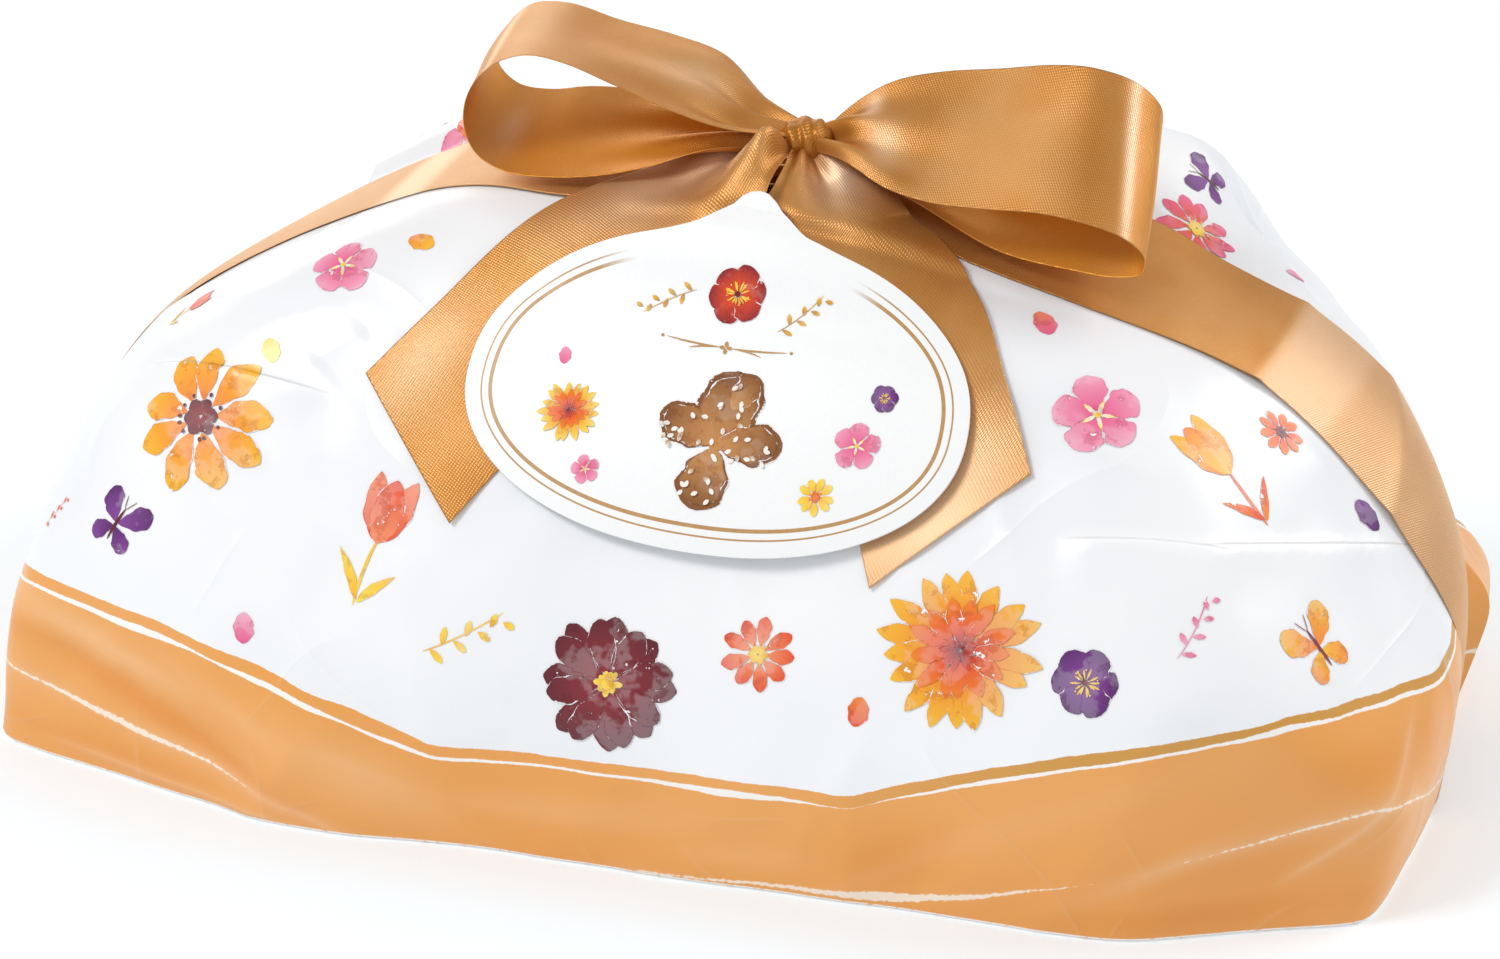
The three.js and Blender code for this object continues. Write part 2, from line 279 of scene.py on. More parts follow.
def fillMesh(name, points, faces, uv, fields, material):
    # a smooth mesh from whole arrays; faces is a list of index arrays, each with its own corner count
    mesh = bpy.data.meshes.new(name)
    mesh.vertices.add(len(points))
    mesh.vertices.foreach_set("co", np.asarray(points, np.float32).ravel())
    loops = np.concatenate([part.ravel() for part in faces])
    sizes = np.concatenate([np.full(len(part), part.shape[1]) for part in faces])
    mesh.loops.add(len(loops))
    mesh.loops.foreach_set("vertex_index", loops.astype(np.int32))
    mesh.polygons.add(len(sizes))
    mesh.polygons.foreach_set("loop_start", (np.cumsum(sizes) - sizes).astype(np.int32))
    mesh.polygons.foreach_set("use_smooth", np.ones(len(sizes), bool))
    mesh.update(calc_edges=True)
    if uv is not None:
        layer = mesh.uv_layers.new(name="UVMap")
        layer.data.foreach_set("uv", np.asarray(uv, np.float32).ravel())
    for key, values in fields.items():
        if values.ndim == 1:
            field = mesh.attributes.new(key, "FLOAT", "POINT")
            field.data.foreach_set("value", values.astype(np.float32))
        else:
            field = mesh.attributes.new(key, "FLOAT_COLOR", "POINT")
            shade = np.concatenate([values, np.ones((len(values), 1))], 1)
            field.data.foreach_set("color", shade.astype(np.float32).ravel())
    mesh.validate()
    piece = bpy.data.objects.new(name, mesh)
    bpy.context.scene.collection.objects.link(piece)
    mesh.materials.append(material)
    return piece


def throughStations(stations, samples):
    # centripetal Catmull-Rom curve: a cubic between each two stations, by the root of their distance
    points = np.array(stations, float)
    points = np.vstack([2 * points[0] - points[1], points, 2 * points[-1] - points[-2]])
    pieces = len(points) - 3
    position = np.asarray(samples) * pieces
    index = np.minimum(position.astype(int), pieces - 1)
    t = (position - index)[..., None]
    roots = np.linalg.norm(np.diff(points, axis=0), axis=1)[:, None] ** 0.5
    p0, p1, p2, p3 = (points[index + step] for step in range(4))
    d0, d1, d2 = (roots[index + step] for step in range(3))
    m1 = ((p1 - p0) / d0 - (p2 - p0) / (d0 + d1) + (p2 - p1) / d1) * d1
    m2 = ((p2 - p1) / d1 - (p3 - p1) / (d1 + d2) + (p3 - p2) / d2) * d1
    c2 = -3 * p1 + 3 * p2 - 2 * m1 - m2
    c3 = 2 * p1 - 2 * p2 + m1 + m2
    return p1 + m1 * t + c2 * t**2 + c3 * t**3


def waves(points, size, seed):
    # soft random field, mostly within 1 of 0: sine waves of about this size in random directions
    count = 14
    source = np.random.default_rng(seed)
    headings = unit(source.normal(size=(count, 3)))
    lengths = size * source.uniform(0.7, 1.6, count)
    phases = source.uniform(0, 2 * np.pi, count)
    angles = points @ (headings * (2 * np.pi / lengths)[:, None]).T + phases
    return np.sin(angles).sum(-1) * math.sqrt(1 / count)


def finishPiece(piece, slotName, *nodes):
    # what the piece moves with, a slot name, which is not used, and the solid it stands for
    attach(piece, "root")
    if nodes:
        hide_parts(*nodes)


# the shape of the film, as in the solid model: soft flat faces round the heart of the pack

heart = np.array([2.84, -1.66, 0]) * mm

filmPlan = {
    "faces": {
        "front": (272.5, 0, 100.5), "frontLeft": (259.5, 0, 119), "frontRight": (294.5, -1.5, 135.5),
        "rightEnd": (352, -14, 173.5), "rightDrawnIn": (10, -4.5, 173), "rightRear": (29, 20.5, 174.5),
        "backRight": (65, 21, 161), "back": (90, 0, 106), "backLeft": (104, 0, 123),
        "leftCorner": (153, 0, 194), "leftEnd": (185, 2, 182.5), "leftNose": (207, 0, 195.5),
        "leftBrow": (181, 28, 184), "leftSlope": (182, 47, 171), "leftRoof": (182, 66, 153),
        "leftFrontBrow": (222, 38, 173), "rightBrow": (13, 45, 192), "rightSlope": (14, 65, 162.5),
        "rightRoof": (316, 71, 143), "frontBelly": (270, 18, 110), "frontSlope": (271, 36, 112),
        "frontCurve": (270, 49, 125), "frontRoof": (268, 62, 137), "rightFrontBrow": (334, 36.5, 169),
        "backSlope": (90, 40, 130), "rightFold": (28, 64.5, 166.5), "backLeftBrow": (135, 40, 158),
        "crown": (0, 90, 141),
    },
    "rounding": 26,
    "footCrispness": 34,
    "footSlope": 0.25,
    "foldFaces": {
        "end": (356.5, 28, 149.5), "top": (315.5, 67.5, 140.5), "left": (180, 82, 134),
        "leftBack": (150, 50, 124), "back": (90, 40, 138), "innerRight": (0, 0, 152),
        "innerFront": (270, 0, 25), "lowBack": (90, 15, 108), "innerBack": (90, 0, 97),
        "innerCorner": (58, 0, 128), "innerLeft": (180, 0, 25),
    },
    "earFaces": {
        "end": (8, -18, 167.5), "top": (14, 52, 142), "front": (285, 0, 8),
        "back": (80, 0, 100), "innerLeft": (180, 0, 25), "lid": (0, 90, 48),
    },
    "foldRounding": 40,
    "joinRounding": 60,
    "normalStep": 7 * mm,
    "halvings": 36,
}


def stacked(*parts):
    # arrays that broadcast together, joined along a new last axis
    return np.stack(np.broadcast_arrays(*parts), -1)


def looking(turn, lean):
    # unit vectors that look round by turn and up by lean, in degrees
    turn, lean = np.radians(turn), np.radians(lean)
    level = np.cos(lean)
    return stacked(np.cos(turn) * level, np.sin(turn) * level, np.sin(lean))


def bodyGauge(points, faces, rounding):
    # p-norm of how far each point is along every face's distance; 1 is on the body
    total = np.zeros(points.shape[:-1])
    for turn, lean, distance in faces.values():
        total += np.maximum(points @ looking(turn, lean) / (distance * mm), 0) ** rounding
    return total ** (1 / rounding)


def packGauge(points):
    # 1 on the film, from points measured from the heart: three bodies joined by a p-norm,
    # with the main one crisper at the foot
    slope = points[..., 2] / (np.hypot(points[..., 0], points[..., 1]) + 1e-9)
    lowness = np.exp(-((slope / filmPlan["footSlope"]) ** 2))
    power = filmPlan["rounding"] + filmPlan["footCrispness"] * lowness
    pack = bodyGauge(points, filmPlan["faces"], power)
    ridge = bodyGauge(points, filmPlan["foldFaces"], filmPlan["foldRounding"])
    ear = bodyGauge(points, filmPlan["earFaces"], filmPlan["foldRounding"])
    join = filmPlan["joinRounding"]
    return (pack**-join + ridge**-join + ear**-join) ** (-1 / join)


def filmNormal(points):
    # outward normal, evened out over a few millimetres: the slope of the gauge
    slope = np.empty(points.shape)
    for axis in range(3):
        step = np.zeros(3)
        step[axis] = filmPlan["normalStep"]
        slope[..., axis] = packGauge(points + step) - packGauge(points - step)
    return unit(slope)


def onFilm(points, lift):
    # points moved straight away from the heart on to the film, then lifted off it
    place = points / packGauge(points)[..., None]
    return place + filmNormal(place) * np.asarray(lift)[..., None]


def findFilm(start, heading, far):
    # where rays from inside cross the film, by halving; far is a distance beyond it, in metres
    near = np.zeros(start.shape[:-1])
    far = np.full(start.shape[:-1], far)
    for _ in range(filmPlan["halvings"]):
        middle = (near + far) / 2
        inside = packGauge(start + heading * middle[..., None]) < 1
        near = np.where(inside, middle, near)
        far = np.where(inside, far, middle)
    return start + heading * near[..., None]


# how far back the ribbon has slid at the right end and on the left shoulder, by the rise over the foot
slidePlan = {
    "drift": 5, "rises": (26, 56),
    "footDrift": 3.5, "footRises": (9, 19),
    "shoulderDrift": 8, "climb": (106, 124), "drop": (134, 152),
    "shoulderPinch": 5,
}


def onShoulder(rise):
    # 1 on the left shoulder, dying away before and after it
    return smoothStep(rise, *slidePlan["climb"]) * (1 - smoothStep(rise, *slidePlan["drop"]))


def ribbonSlide(rise):
    # how far back the ribbon has slid at this rise: three smooth steps added up, mm
    slide = slidePlan["drift"] * (1 - smoothStep(rise, *slidePlan["rises"]))
    slide = slide + slidePlan["footDrift"] * (1 - smoothStep(rise, *slidePlan["footRises"]))
    return slide + slidePlan["shoulderDrift"] * onShoulder(rise)


def besideRibbon(points):
    # distance out from the ribbon's edge; less than 0 is under the ribbon
    rise = np.degrees(np.arctan2(points[..., 2], points[..., 0]))
    middle = ripplePlan["ribbonMiddle"] + ribbonSlide(rise)
    return np.abs(points[..., 1] - middle * mm) - ripplePlan["ribbonHalf"] * mm


# creases and ripples of the film

ripplePlan = {
    "columns": 480,
    "rows": 150,
    # height and size of the soft waves, the sharp creases and the fine waves, mm
    "broad": (0.55, 85),
    "crease": (0.7, 62),
    "fine": (0.22, 24),
    # creases come in patches of this size, and die away by this much of the wave they follow
    "creasePatch": 130,
    "creaseFade": 0.22,
    "ribbonMiddle": -1,
    "ribbonHalf": 21,
    "underRibbon": -0.2,
    # start, end, height, width on each side; tucks stand up on one side only
    "folds": [
        ((-138, -58, 95), (-88, -67, 98), 1.0, 9, "tuck"),
        ((-91, -62, 103), (-80, -56, 109), 0.8, 4, "ridge"),
        ((97, -71, 88), (134, -62, 87), 0.9, 13, "tuck"),
        ((126, -65, 88), (168, -14, 71), 1.0, 9, "tuck"),
        ((-164, -90, 32), (-127, -97, 26), -1.6, 7, "ridge"),
        ((-132, -96, 27), (-70, -103, 2), -1.6, 7, "ridge"),
        ((-152, -93, 5), (-80, -103, 1), 0.8, 3, "ridge"),
        ((-172, -66, 50), (-170, -72, 2), -1.8, 13, "ridge"),
        ((-82, -103, 1), (-79, -100, 38), 1.0, 9, "ridge"),
        ((53, -98, 1), (54, -98, 44), 1.1, 9, "ridge"),
        ((-60, -90, 66), (-44, -101, 20), 0.7, 9, "ridge"),
        ((98, -96, 4), (120, -84, 60), 0.7, 7, "ridge"),
        ((60, -97, 10), (150, -80, 26), 0.7, 8, "ridge"),
        ((150, -78, 14), (172, -46, 44), 0.9, 5, "ridge"),
        ((181, -28, 31), (178, -52, 24), 1.0, 3, "ridge"),
        ((178, -52, 24), (175, -49, 3), 1.0, 3, "ridge"),
        ((180, -29, 54), (181, -28, 30), 1.0, 2.5, "ridge"),
        ((60, -60, 112), (140, -30, 98), -0.8, 8, "ridge"),
        ((92, 56, 139), (112, 49, 119), 1.2, 8, "ridge"),
        ((112, 49, 119), (132, 20, 112), 1.2, 8, "ridge"),
        ((101, 56, 132), (124, 50, 112), 0.9, 4, "ridge"),
        ((-150, -20, 85), (-96, -50, 112), 0.8, 8, "ridge"),
        ((128, 40, 96), (160, 14, 60), 0.8, 6, "ridge"),
        ((-60, 60, 110), (-130, 50, 70), 0.8, 8, "ridge"),
        ((-20, 70, 110), (-50, 95, 30), 0.8, 8, "ridge"),
        ((20, 80, 100), (60, 100, 20), 0.8, 8, "ridge"),
        ((-112, 36, 106), (-84, 40, 124), 6.0, 14, "ridge"),
    ],
    # narrower folds are left to the shader
    "narrow": 6,
    # where along its length a fold comes up and dies away, as shares of it
    "comesUp": (-0.12, 0.15),
    "diesAway": (0.8, 1.12),
    # round swells and hollows of film and ribbon together: middle, height, radius
    "swells": [
        ((-150, -14, 82), 4.1, 32), ((-170, -74, 46), -3.6, 42),
        ((-78, -103, 2), 3.6, 26), ((104, -95, 2), 2.0, 30), ((171, -58, 2), 1.7, 18),
    ],
    # crinkles for the shader: heading and spacing in mm
    "crinkles": [((0.9, 0.1, 0.5), 34), ((0.5, 0.2, -0.8), 27), ((0.1, -0.7, 0.7), 38)],
}


def foldLift(points, start, end, height, width, kind):
    # lift beside a straight fold: it dies away with the distance from the plane of heart and fold
    a, b = unit(np.array(start, float)), unit(np.array(end, float))
    across = unit(np.cross(a, b))
    along = unit(b - a)
    away = points @ across
    headings = unit(points)
    t = (headings @ along - a @ along) / ((b - a) @ along)
    fade = smoothStep(t, *ripplePlan["comesUp"]) * (1 - smoothStep(t, *ripplePlan["diesAway"]))
    if kind == "ridge":
        shape = np.exp(-np.abs(away) / (width * mm))
    else:
        step = smoothStep(-away, -0.8 * mm, 0.8 * mm)
        shape = step * np.exp(-np.maximum(-away, 0) / (width * mm))
    inFront = headings @ unit(a + b) > 0
    return height * mm * shape * fade * inFront


def swell(points):
    # how far the film and the ribbon on it swell out: a bell round each middle
    total = np.zeros(points.shape[:-1])
    for middle, height, radius in ripplePlan["swells"]:
        away = np.linalg.norm(points - np.array(middle) * mm, axis=-1)
        total += height * mm * np.exp(-((away / (radius * mm)) ** 2))
    return total


def filmRipple(points):
    # how far creases lift the film: broad waves, sharp creases where a wave crosses zero, single
    # folds and swells; under the ribbon only the swells are left
    plan = ripplePlan
    broad, crease, fine = plan["broad"], plan["crease"], plan["fine"]
    lift = broad[0] * mm * waves(points, broad[1] * mm, 3)
    where = smoothStep(waves(points, plan["creasePatch"] * mm, 8), -0.5, 0.9)
    wave = np.abs(waves(points, crease[1] * mm, 5))
    lift += crease[0] * mm * np.exp(-wave / plan["creaseFade"]) * where
    lift += fine[0] * mm * waves(points, fine[1] * mm, 11)
    for start, end, height, width, kind in plan["folds"]:
        if width >= plan["narrow"]:
            lift += foldLift(points, start, end, height, width, kind)
    free = smoothStep(besideRibbon(points), 0.5 * mm, 7 * mm)
    return lift * free + ripplePlan["underRibbon"] * mm * (1 - free) + swell(points)


filmTurns = np.arange(ripplePlan["columns"]) * 360 / ripplePlan["columns"]
filmRises = np.linspace(0, 90, ripplePlan["rows"] + 1)


def makeFilmTable():
    # distance of the creased film from the heart, by rise and turn
    headings = looking(filmTurns[None, :], filmRises[:, None])
    smooth = headings / packGauge(headings)[..., None]
    # a lift along the normal is longer along the heading, where the two lean apart
    lean = np.maximum((filmNormal(smooth) * headings).sum(-1), 0.6)
    return np.linalg.norm(smooth, axis=-1) + filmRipple(smooth) / lean


filmTable = makeFilmTable()
print("film shape worked out")


def onCreasedFilm(points, lift):
    # points moved on to the creased film, read from the table between its four nearest entries
    headings = unit(points)
    turn = np.degrees(np.arctan2(headings[..., 1], headings[..., 0])) % 360
    rise = np.degrees(np.arcsin(np.clip(headings[..., 2], -1, 1)))
    rows, columns = ripplePlan["rows"], ripplePlan["columns"]
    column = turn * columns / 360
    row = np.clip(rise * rows / 90, 0, rows - 1e-6)
    left, below = column.astype(int), row.astype(int)
    aside, up = column - left, row - below
    left, right = left % columns, (left + 1) % columns
    low = filmTable[below, left] * (1 - aside) + filmTable[below, right] * aside
    high = filmTable[below + 1, left] * (1 - aside) + filmTable[below + 1, right] * aside
    place = headings * (low * (1 - up) + high * up)[..., None]
    return place + filmNormal(place) * np.asarray(lift)[..., None]


# the film pack

bandPlan = {
    # height of the coloured band's top edge at each turn, mm; at the right end it climbs over the ear
    "tops": {
        0: 66, 14: 66, 22: 38, 35: 44, 60: 40, 90: 30, 120: 34, 150: 46, 180: 42, 203: 44,
        208: 47.5, 212: 47.6, 218: 45.6, 220: 43.6, 224: 41.1, 228: 38.8, 232: 35.7, 236: 33.8,
        242: 29.4, 246: 27.4, 258: 28.3, 270: 28.7, 282: 28.6, 298.6: 29.0, 302: 31.7, 308: 37,
        315: 43, 321: 48.1, 324: 50.9, 327: 52.3, 333: 54, 341: 51.5, 350: 48, 354: 52,
    },
    # how far below it the white line runs
    "drops": {
        0: 3, 180: 3, 208: 3.0, 212: 3.8, 218: 3.9, 221: 2.8, 226: 3.5, 232: 3.0, 239: 4.3,
        246: 3.4, 261: 2.9, 282: 3.4, 300: 3.2, 312: 3.3, 321: 3.0, 332: 2.2, 346: 2.3,
    },
    # half of the white line's thickness, mm
    "lineHalves": {
        0: 0.3, 90: 0.5, 150: 0.3, 208: 0.25, 212: 0.45, 217: 0.85, 220: 0.5, 223: 0.1, 228: 0.6,
        233: 0.55, 236: 0.1, 241: 0.55, 246: 0.4, 254: 0.2, 268: 0.25, 276: 0.5, 284: 0.9,
        289: 0.45, 293: 0.1, 301: -0.1, 306: 0.2, 312: 0.35, 318: 0.1, 323: 0.35, 328: 0.3,
        332: 0.65, 335: 0.3, 338: 0.1, 342: 0.3,
    },
    # height of the broken lower line; it leaves the foot twice
    "streaks": {
        0: 20, 60: 8, 90: -6, 120: 6, 180: 22, 208: 20.9, 212: 17.3, 216: 15.1, 220: 13.1,
        224: 10.9, 228: 7.7, 234: 3, 240: -4, 262: -4, 272: 1.0, 286: 1.9, 300: 2.8, 305: 3.6,
        310: 6.4, 318: 14.2, 325: 20.1, 333: 26.8, 337: 29.9, 341: 29, 346: 23, 352: 18,
    },
    # half of its thickness; below about 0.3 it breaks into dashes
    "streakHalves": {
        0: 0.3, 40: 0.5, 60: 0.0, 120: 0.0, 140: 0.4, 203: 0.0, 209: 0.0, 212: 0.3, 215: 0.7,
        218: 0.5, 221: 0.15, 225: -0.1, 229: -0.6, 234: -0.8, 262: -0.8, 272: 0.05, 284: 0.25,
        296: 0.5, 302: 1.2, 306: 0.8, 311: 0.5, 315: 0.05, 320: -0.5, 326: -0.3, 331: -0.05,
        338: 0.05, 345: 0.0,
    },
    # painted sheens, pale: turn and height of the middle, sizes both ways, slope in mm per degree, strength
    "sheens": [
        (213, 36, 11, 4.5, -0.9, 0.9), (238, 16, 9, 7, -0.8, 0.75), (262, 14, 16, 4, 0.1, 0.5),
        (226, 26, 9, 3.5, -1.2, 0.6), (286, 9, 8, 3, 0.1, 0.35), (309, 20, 15, 3.5, 1.4, 0.35),
        (323, 17.5, 5, 2.6, 1.5, 0.9), (340, 24, 5, 9, 0.0, 0.5), (70, 14, 14, 5, 0.4, 0.6),
        (150, 22, 16, 5, -0.5, 0.6),
    ],
    # deeper orange, partly painted shade along the fold valleys and partly deeper print, in the same terms
    "depths": [
        (221, 18, 15, 3.2, -1.15, 0.9), (216, 6, 9, 3.5, -0.2, 0.6), (303, 14, 7, 9, 0.6, 0.6),
        (326, 6, 12, 5, 0.2, 0.9), (328, 18, 24, 16, 0.8, 0.45), (340, 38, 8, 7, 0.0, 0.6),
        (205, 33, 5, 3, -0.4, 0.7), (110, 12, 14, 5, 0.3, 0.8),
    ],
    # the lines are evened out over this many half degrees
    "evenOver": 7,
    # the wall starts at this rise, above a quarter round of this radius in mm and so many rings
    "firstRise": 1.6,
    "footRound": 1.4,
    "footRings": 5,
    # the foot is hollow by this much, so that the ribbon passes under it, and has rings at these shares
    "hollow": 1.9,
    "underRings": (0.3, 0.6, 0.85, 0.95),
}

filmInks = {
    "shade": (0.845, 0.85, 0.87),
    "white": (0.925, 0.925, 0.935),
    # painted highlight: the white along the film's folds
    "fold": (0.98, 0.98, 0.98),
    "orange": (0.82, 0.345, 0.072),
    "lightOrange": (0.84, 0.375, 0.095),
    # sheen is painted sheen; depth is partly painted shade in the fold valleys, partly deeper print
    "sheen": (0.90, 0.50, 0.22),
    "depth": (0.75, 0.25, 0.028),
    "ochre": (0.64, 0.31, 0.055),
    "haze": (0.93, 0.66, 0.44),
    "line": (0.94, 0.91, 0.87),
    "streak": (0.94, 0.83, 0.70),
    # painted highlight along the folds over the band
    "creaseHighlight": (0.96, 0.72, 0.50),
    # painted highlight: the thin bright line along the foot
    "footEdgeHighlight": (1.0, 0.95, 0.89),
}


def bandLine(turn, places):
    # height in metres of a line given by turns and heights, evened out over a few degrees
    fine = np.arange(-20, 380, 0.5)
    line = np.interp(fine % 360, list(places), list(places.values()), period=360)
    window = np.hanning(bandPlan["evenOver"] + 2)
    return np.interp(turn, fine, np.convolve(line, window / window.sum(), "same")) * mm


def bandPatches(turn, height, patches):
    # soft slanted spots: e to the minus squared distance over size, both ways; the strongest counts
    total = np.zeros(np.broadcast(turn, height).shape)
    for middle, level, wide, tall, slope, strength in patches:
        aside = (turn - middle + 180) % 360 - 180
        apart = height / mm - level - slope * aside
        total = np.maximum(total, strength * np.exp(-((aside / wide) ** 2) - (apart / tall) ** 2))
    return total


def filmSkin(shader, spot):
    # bump of the film: sharp folds, crinkles where slanting waves cross zero, and a faint grain;
    # with it comes how much painted highlight lies along the crests of folds and crinkles at each place
    local = shader.vector("SUBTRACT", spot, tuple(heart))
    heading = shader.vector("NORMALIZE", local)
    relief, creaseHighlight = 0.0, 0.0
    for start, end, height, width, kind in ripplePlan["folds"]:
        if width >= ripplePlan["narrow"] and kind == "ridge":
            continue
        a, b = unit(np.array(start, float)), unit(np.array(end, float))
        away = shader.dot(local, tuple(unit(np.cross(a, b))))
        along = unit(b - a)
        reach = shader.dot(heading, tuple(along))
        low, span = float(a @ along), float((b - a) @ along)
        ramps = [[low + share * span for share in ripplePlan[key]] for key in ("comesUp", "diesAway")]
        fade = reach.rising(*ramps[0]) * (1 - reach.rising(*ramps[1]))
        if kind == "ridge":
            relief = relief + away.fading(width * mm) * fade * height
            creaseHighlight = creaseHighlight + away.fading(1.1 * mm) * fade * (0.35 * height)
        else:
            relief = relief + away.rising(0.4 * mm, -0.4 * mm) * fade * (0.6 * height)
            creaseHighlight = creaseHighlight + (away + 0.5 * mm).fading(0.7 * mm) * fade * 0.5
    bends = shader.noise(spot, 9.0, 1.0)
    for index, (direction, spacing) in enumerate(ripplePlan["crinkles"]):
        turns = tuple(unit(np.array(direction)) * math.pi / (spacing * mm))
        wave = (shader.dot(spot, turns) + bends * 9.0).sine()
        shifted = shader.vector("ADD", spot, (index * 0.7, index * 0.3, 0.1))
        mask = shader.noise(shifted, 17.0, 1.0).rising(0.52, 0.66)
        relief = relief + wave.fading(0.16) * mask * 0.35
        creaseHighlight = creaseHighlight + wave.fading(0.035) * mask * 0.12
    crumple = shader.noise(spot, 24.0, 3.0, 0.5)
    grain = shader.noise(spot, 170.0, 2.0)
    height = relief + crumple * 0.7 + grain * 0.05
    return shader.bump(height, 0.001, 0.85), creaseHighlight


def filmWhite(shader, spot, creaseHighlight):
    # the film's own white, a little greyer in soft patches, with a painted highlight along its folds
    slow = shader.noise(spot, 13.0, 2.0)
    white = shader.mix(slow.rising(0.3, 0.7), filmInks["shade"], filmInks["white"])
    return shader.mix(creaseHighlight.least(0.8), white, filmInks["fold"])


def filmMaterial():
    # white film above the band's top edge and paint below it; both edges of every line are torn by noise
    shader = Shader("printedFilm")
    spot = shader.objectSpot()
    level = shader.axis(spot, "Z")
    run, above = shader.runAndAcross()
    aboveLine, aboveStreak, sheen, depth = (
        shader.attribute(key) for key in ("line", "streak", "sheen", "depth")
    )
    slow = shader.noise(spot, 13.0, 2.0)
    medium = shader.noise(spot, 70.0, 3.0)
    rough = shader.noise(spot, 520.0, 3.0, 0.6)
    brush = shader.streaks(run * 30.0, above * 320.0, 4.0, 0.6)
    torn = shader.streaks(run * 700.0, above * 900.0)
    pace = shader.streaks(run * 21.0, 0.0)
    dashes = shader.streaks(run * 12.0, 0.4)
    sway = medium - 0.5
    normal, creaseHighlight = filmSkin(shader, spot)
    white = filmWhite(shader, spot, creaseHighlight)

    # the paint: orange, paler and deeper in soft random patches, then a painted sheen, then deeper orange
    # that is partly painted shade along the fold valleys and partly deeper print; ochre along its top at the
    # right
    orange = shader.mix(slow.rising(0.35, 0.65), filmInks["orange"], filmInks["lightOrange"])
    soft = (sheen + (brush - 0.5) * sheen * 0.9).least(1.0)
    orange = shader.mix(soft * 0.75, orange, filmInks["sheen"])
    orange = shader.mix(depth * 0.75, orange, filmInks["depth"])
    rightward = shader.axis(spot, "X").rising(0.03, 0.11)
    ochre = shader.mix(rightward, orange, filmInks["ochre"])
    paint = shader.mix(aboveLine.rising(-0.0002, 0.0004), orange, ochre)

    # the lines: 1 within half a thickness of each, which noise widens and narrows; lengths in metres
    lineHalf = shader.attribute("lineHalf") + (pace - 0.5) * 0.0009 + (torn - 0.5) * 0.0004
    upperLine = 1 - ((aboveLine + sway * 0.0012).size() - lineHalf).rising(0.0, 0.00025)
    streakAt = aboveStreak + sway * 0.0010
    streakHalf = shader.attribute("streakHalf") + (dashes - 0.5) * 0.0008 + (torn - 0.5) * 0.0015
    lowerLine = 1 - (streakAt.size() - streakHalf).rising(0.0, 0.0004)
    haze = streakAt.fading(0.0018) * dashes.rising(0.38, 0.6)
    # painted highlight: a thin bright line along the foot, torn by noise
    footEdgeHighlight = (1 - level.rising(0.0006, 0.0010)) * torn.rising(0.25, 0.5)
    layers = (
        (haze * 0.35, "haze"),
        (upperLine, "line"),
        (lowerLine * level.rising(0.0004, 0.0008) * 0.9, "streak"),
        ((creaseHighlight * 0.9).least(0.7), "creaseHighlight"),
        (footEdgeHighlight, "footEdgeHighlight"),
    )
    for amount, ink in layers:
        paint = shader.mix(amount, paint, filmInks[ink])

    edge = above + sway * 0.0016 + (rough - 0.5) * 0.0005
    inBand = 1 - edge.rising(-0.00012, 0.00012)
    colour = shader.mix(inBand, white, paint)
    roughness = medium * 0.08 + 0.28
    return shader.finish({"Base Color": colour, "Roughness": roughness, "Normal": normal, "IOR": 1.5})


def filmRings():
    # rings round the pack from below its foot up to the crown: a hollow floor, a quarter round and a wall
    rises = np.linspace(bandPlan["firstRise"], 90, ripplePlan["rows"] + 1)[:-1]
    wall = onCreasedFilm(looking(filmTurns[None, :], rises[:, None]), np.zeros(1))
    rim = onCreasedFilm(looking(filmTurns, np.zeros(1)), np.zeros(1))
    outward = unit(rim * np.array([1, 1, 0]))
    # where the ribbon passes below, the foot stands off the floor
    inStrip = 1 - smoothStep(besideRibbon(rim), 1 * mm, 2.4 * mm)
    low = inStrip * bandPlan["hollow"] * mm
    top = bandPlan["footRound"] * mm
    rings = []
    for share in bandPlan["underRings"]:
        ring = rim * share
        ring[:, 2] = bandPlan["hollow"] * mm
        rings.append(ring)
    for bend in np.linspace(0, np.pi / 2, bandPlan["footRings"]):
        ring = rim - outward * bandPlan["footRound"] * mm * (1 - np.sin(bend))
        ring[:, 2] = low + (top - low) * (1 - np.cos(bend))
        rings.append(ring)
    return np.concatenate([np.stack(rings), wall]), rim


def bandFields(level):
    # for the material: height over both lines, their half thickness, and the band's patches of painted sheen
    # and of deeper orange, which is partly painted shade
    keys = ("tops", "drops", "streaks", "lineHalves", "streakHalves")
    top, drop, streak, lineHalf, streakHalf = (bandLine(filmTurns, bandPlan[key]) for key in keys)
    fields = {
        "line": level - (top - drop),
        "streak": level - streak,
        "lineHalf": np.broadcast_to(lineHalf, level.shape),
        "streakHalf": np.broadcast_to(streakHalf, level.shape),
        "sheen": bandPatches(filmTurns, level, bandPlan["sheens"]),
        "depth": bandPatches(filmTurns, level, bandPlan["depths"]),
    }
    # both poles take the value at the start of their ring
    for key, values in fields.items():
        fields[key] = np.append(values.ravel(), [values[0, 0], values[-1, 0]])
    return fields


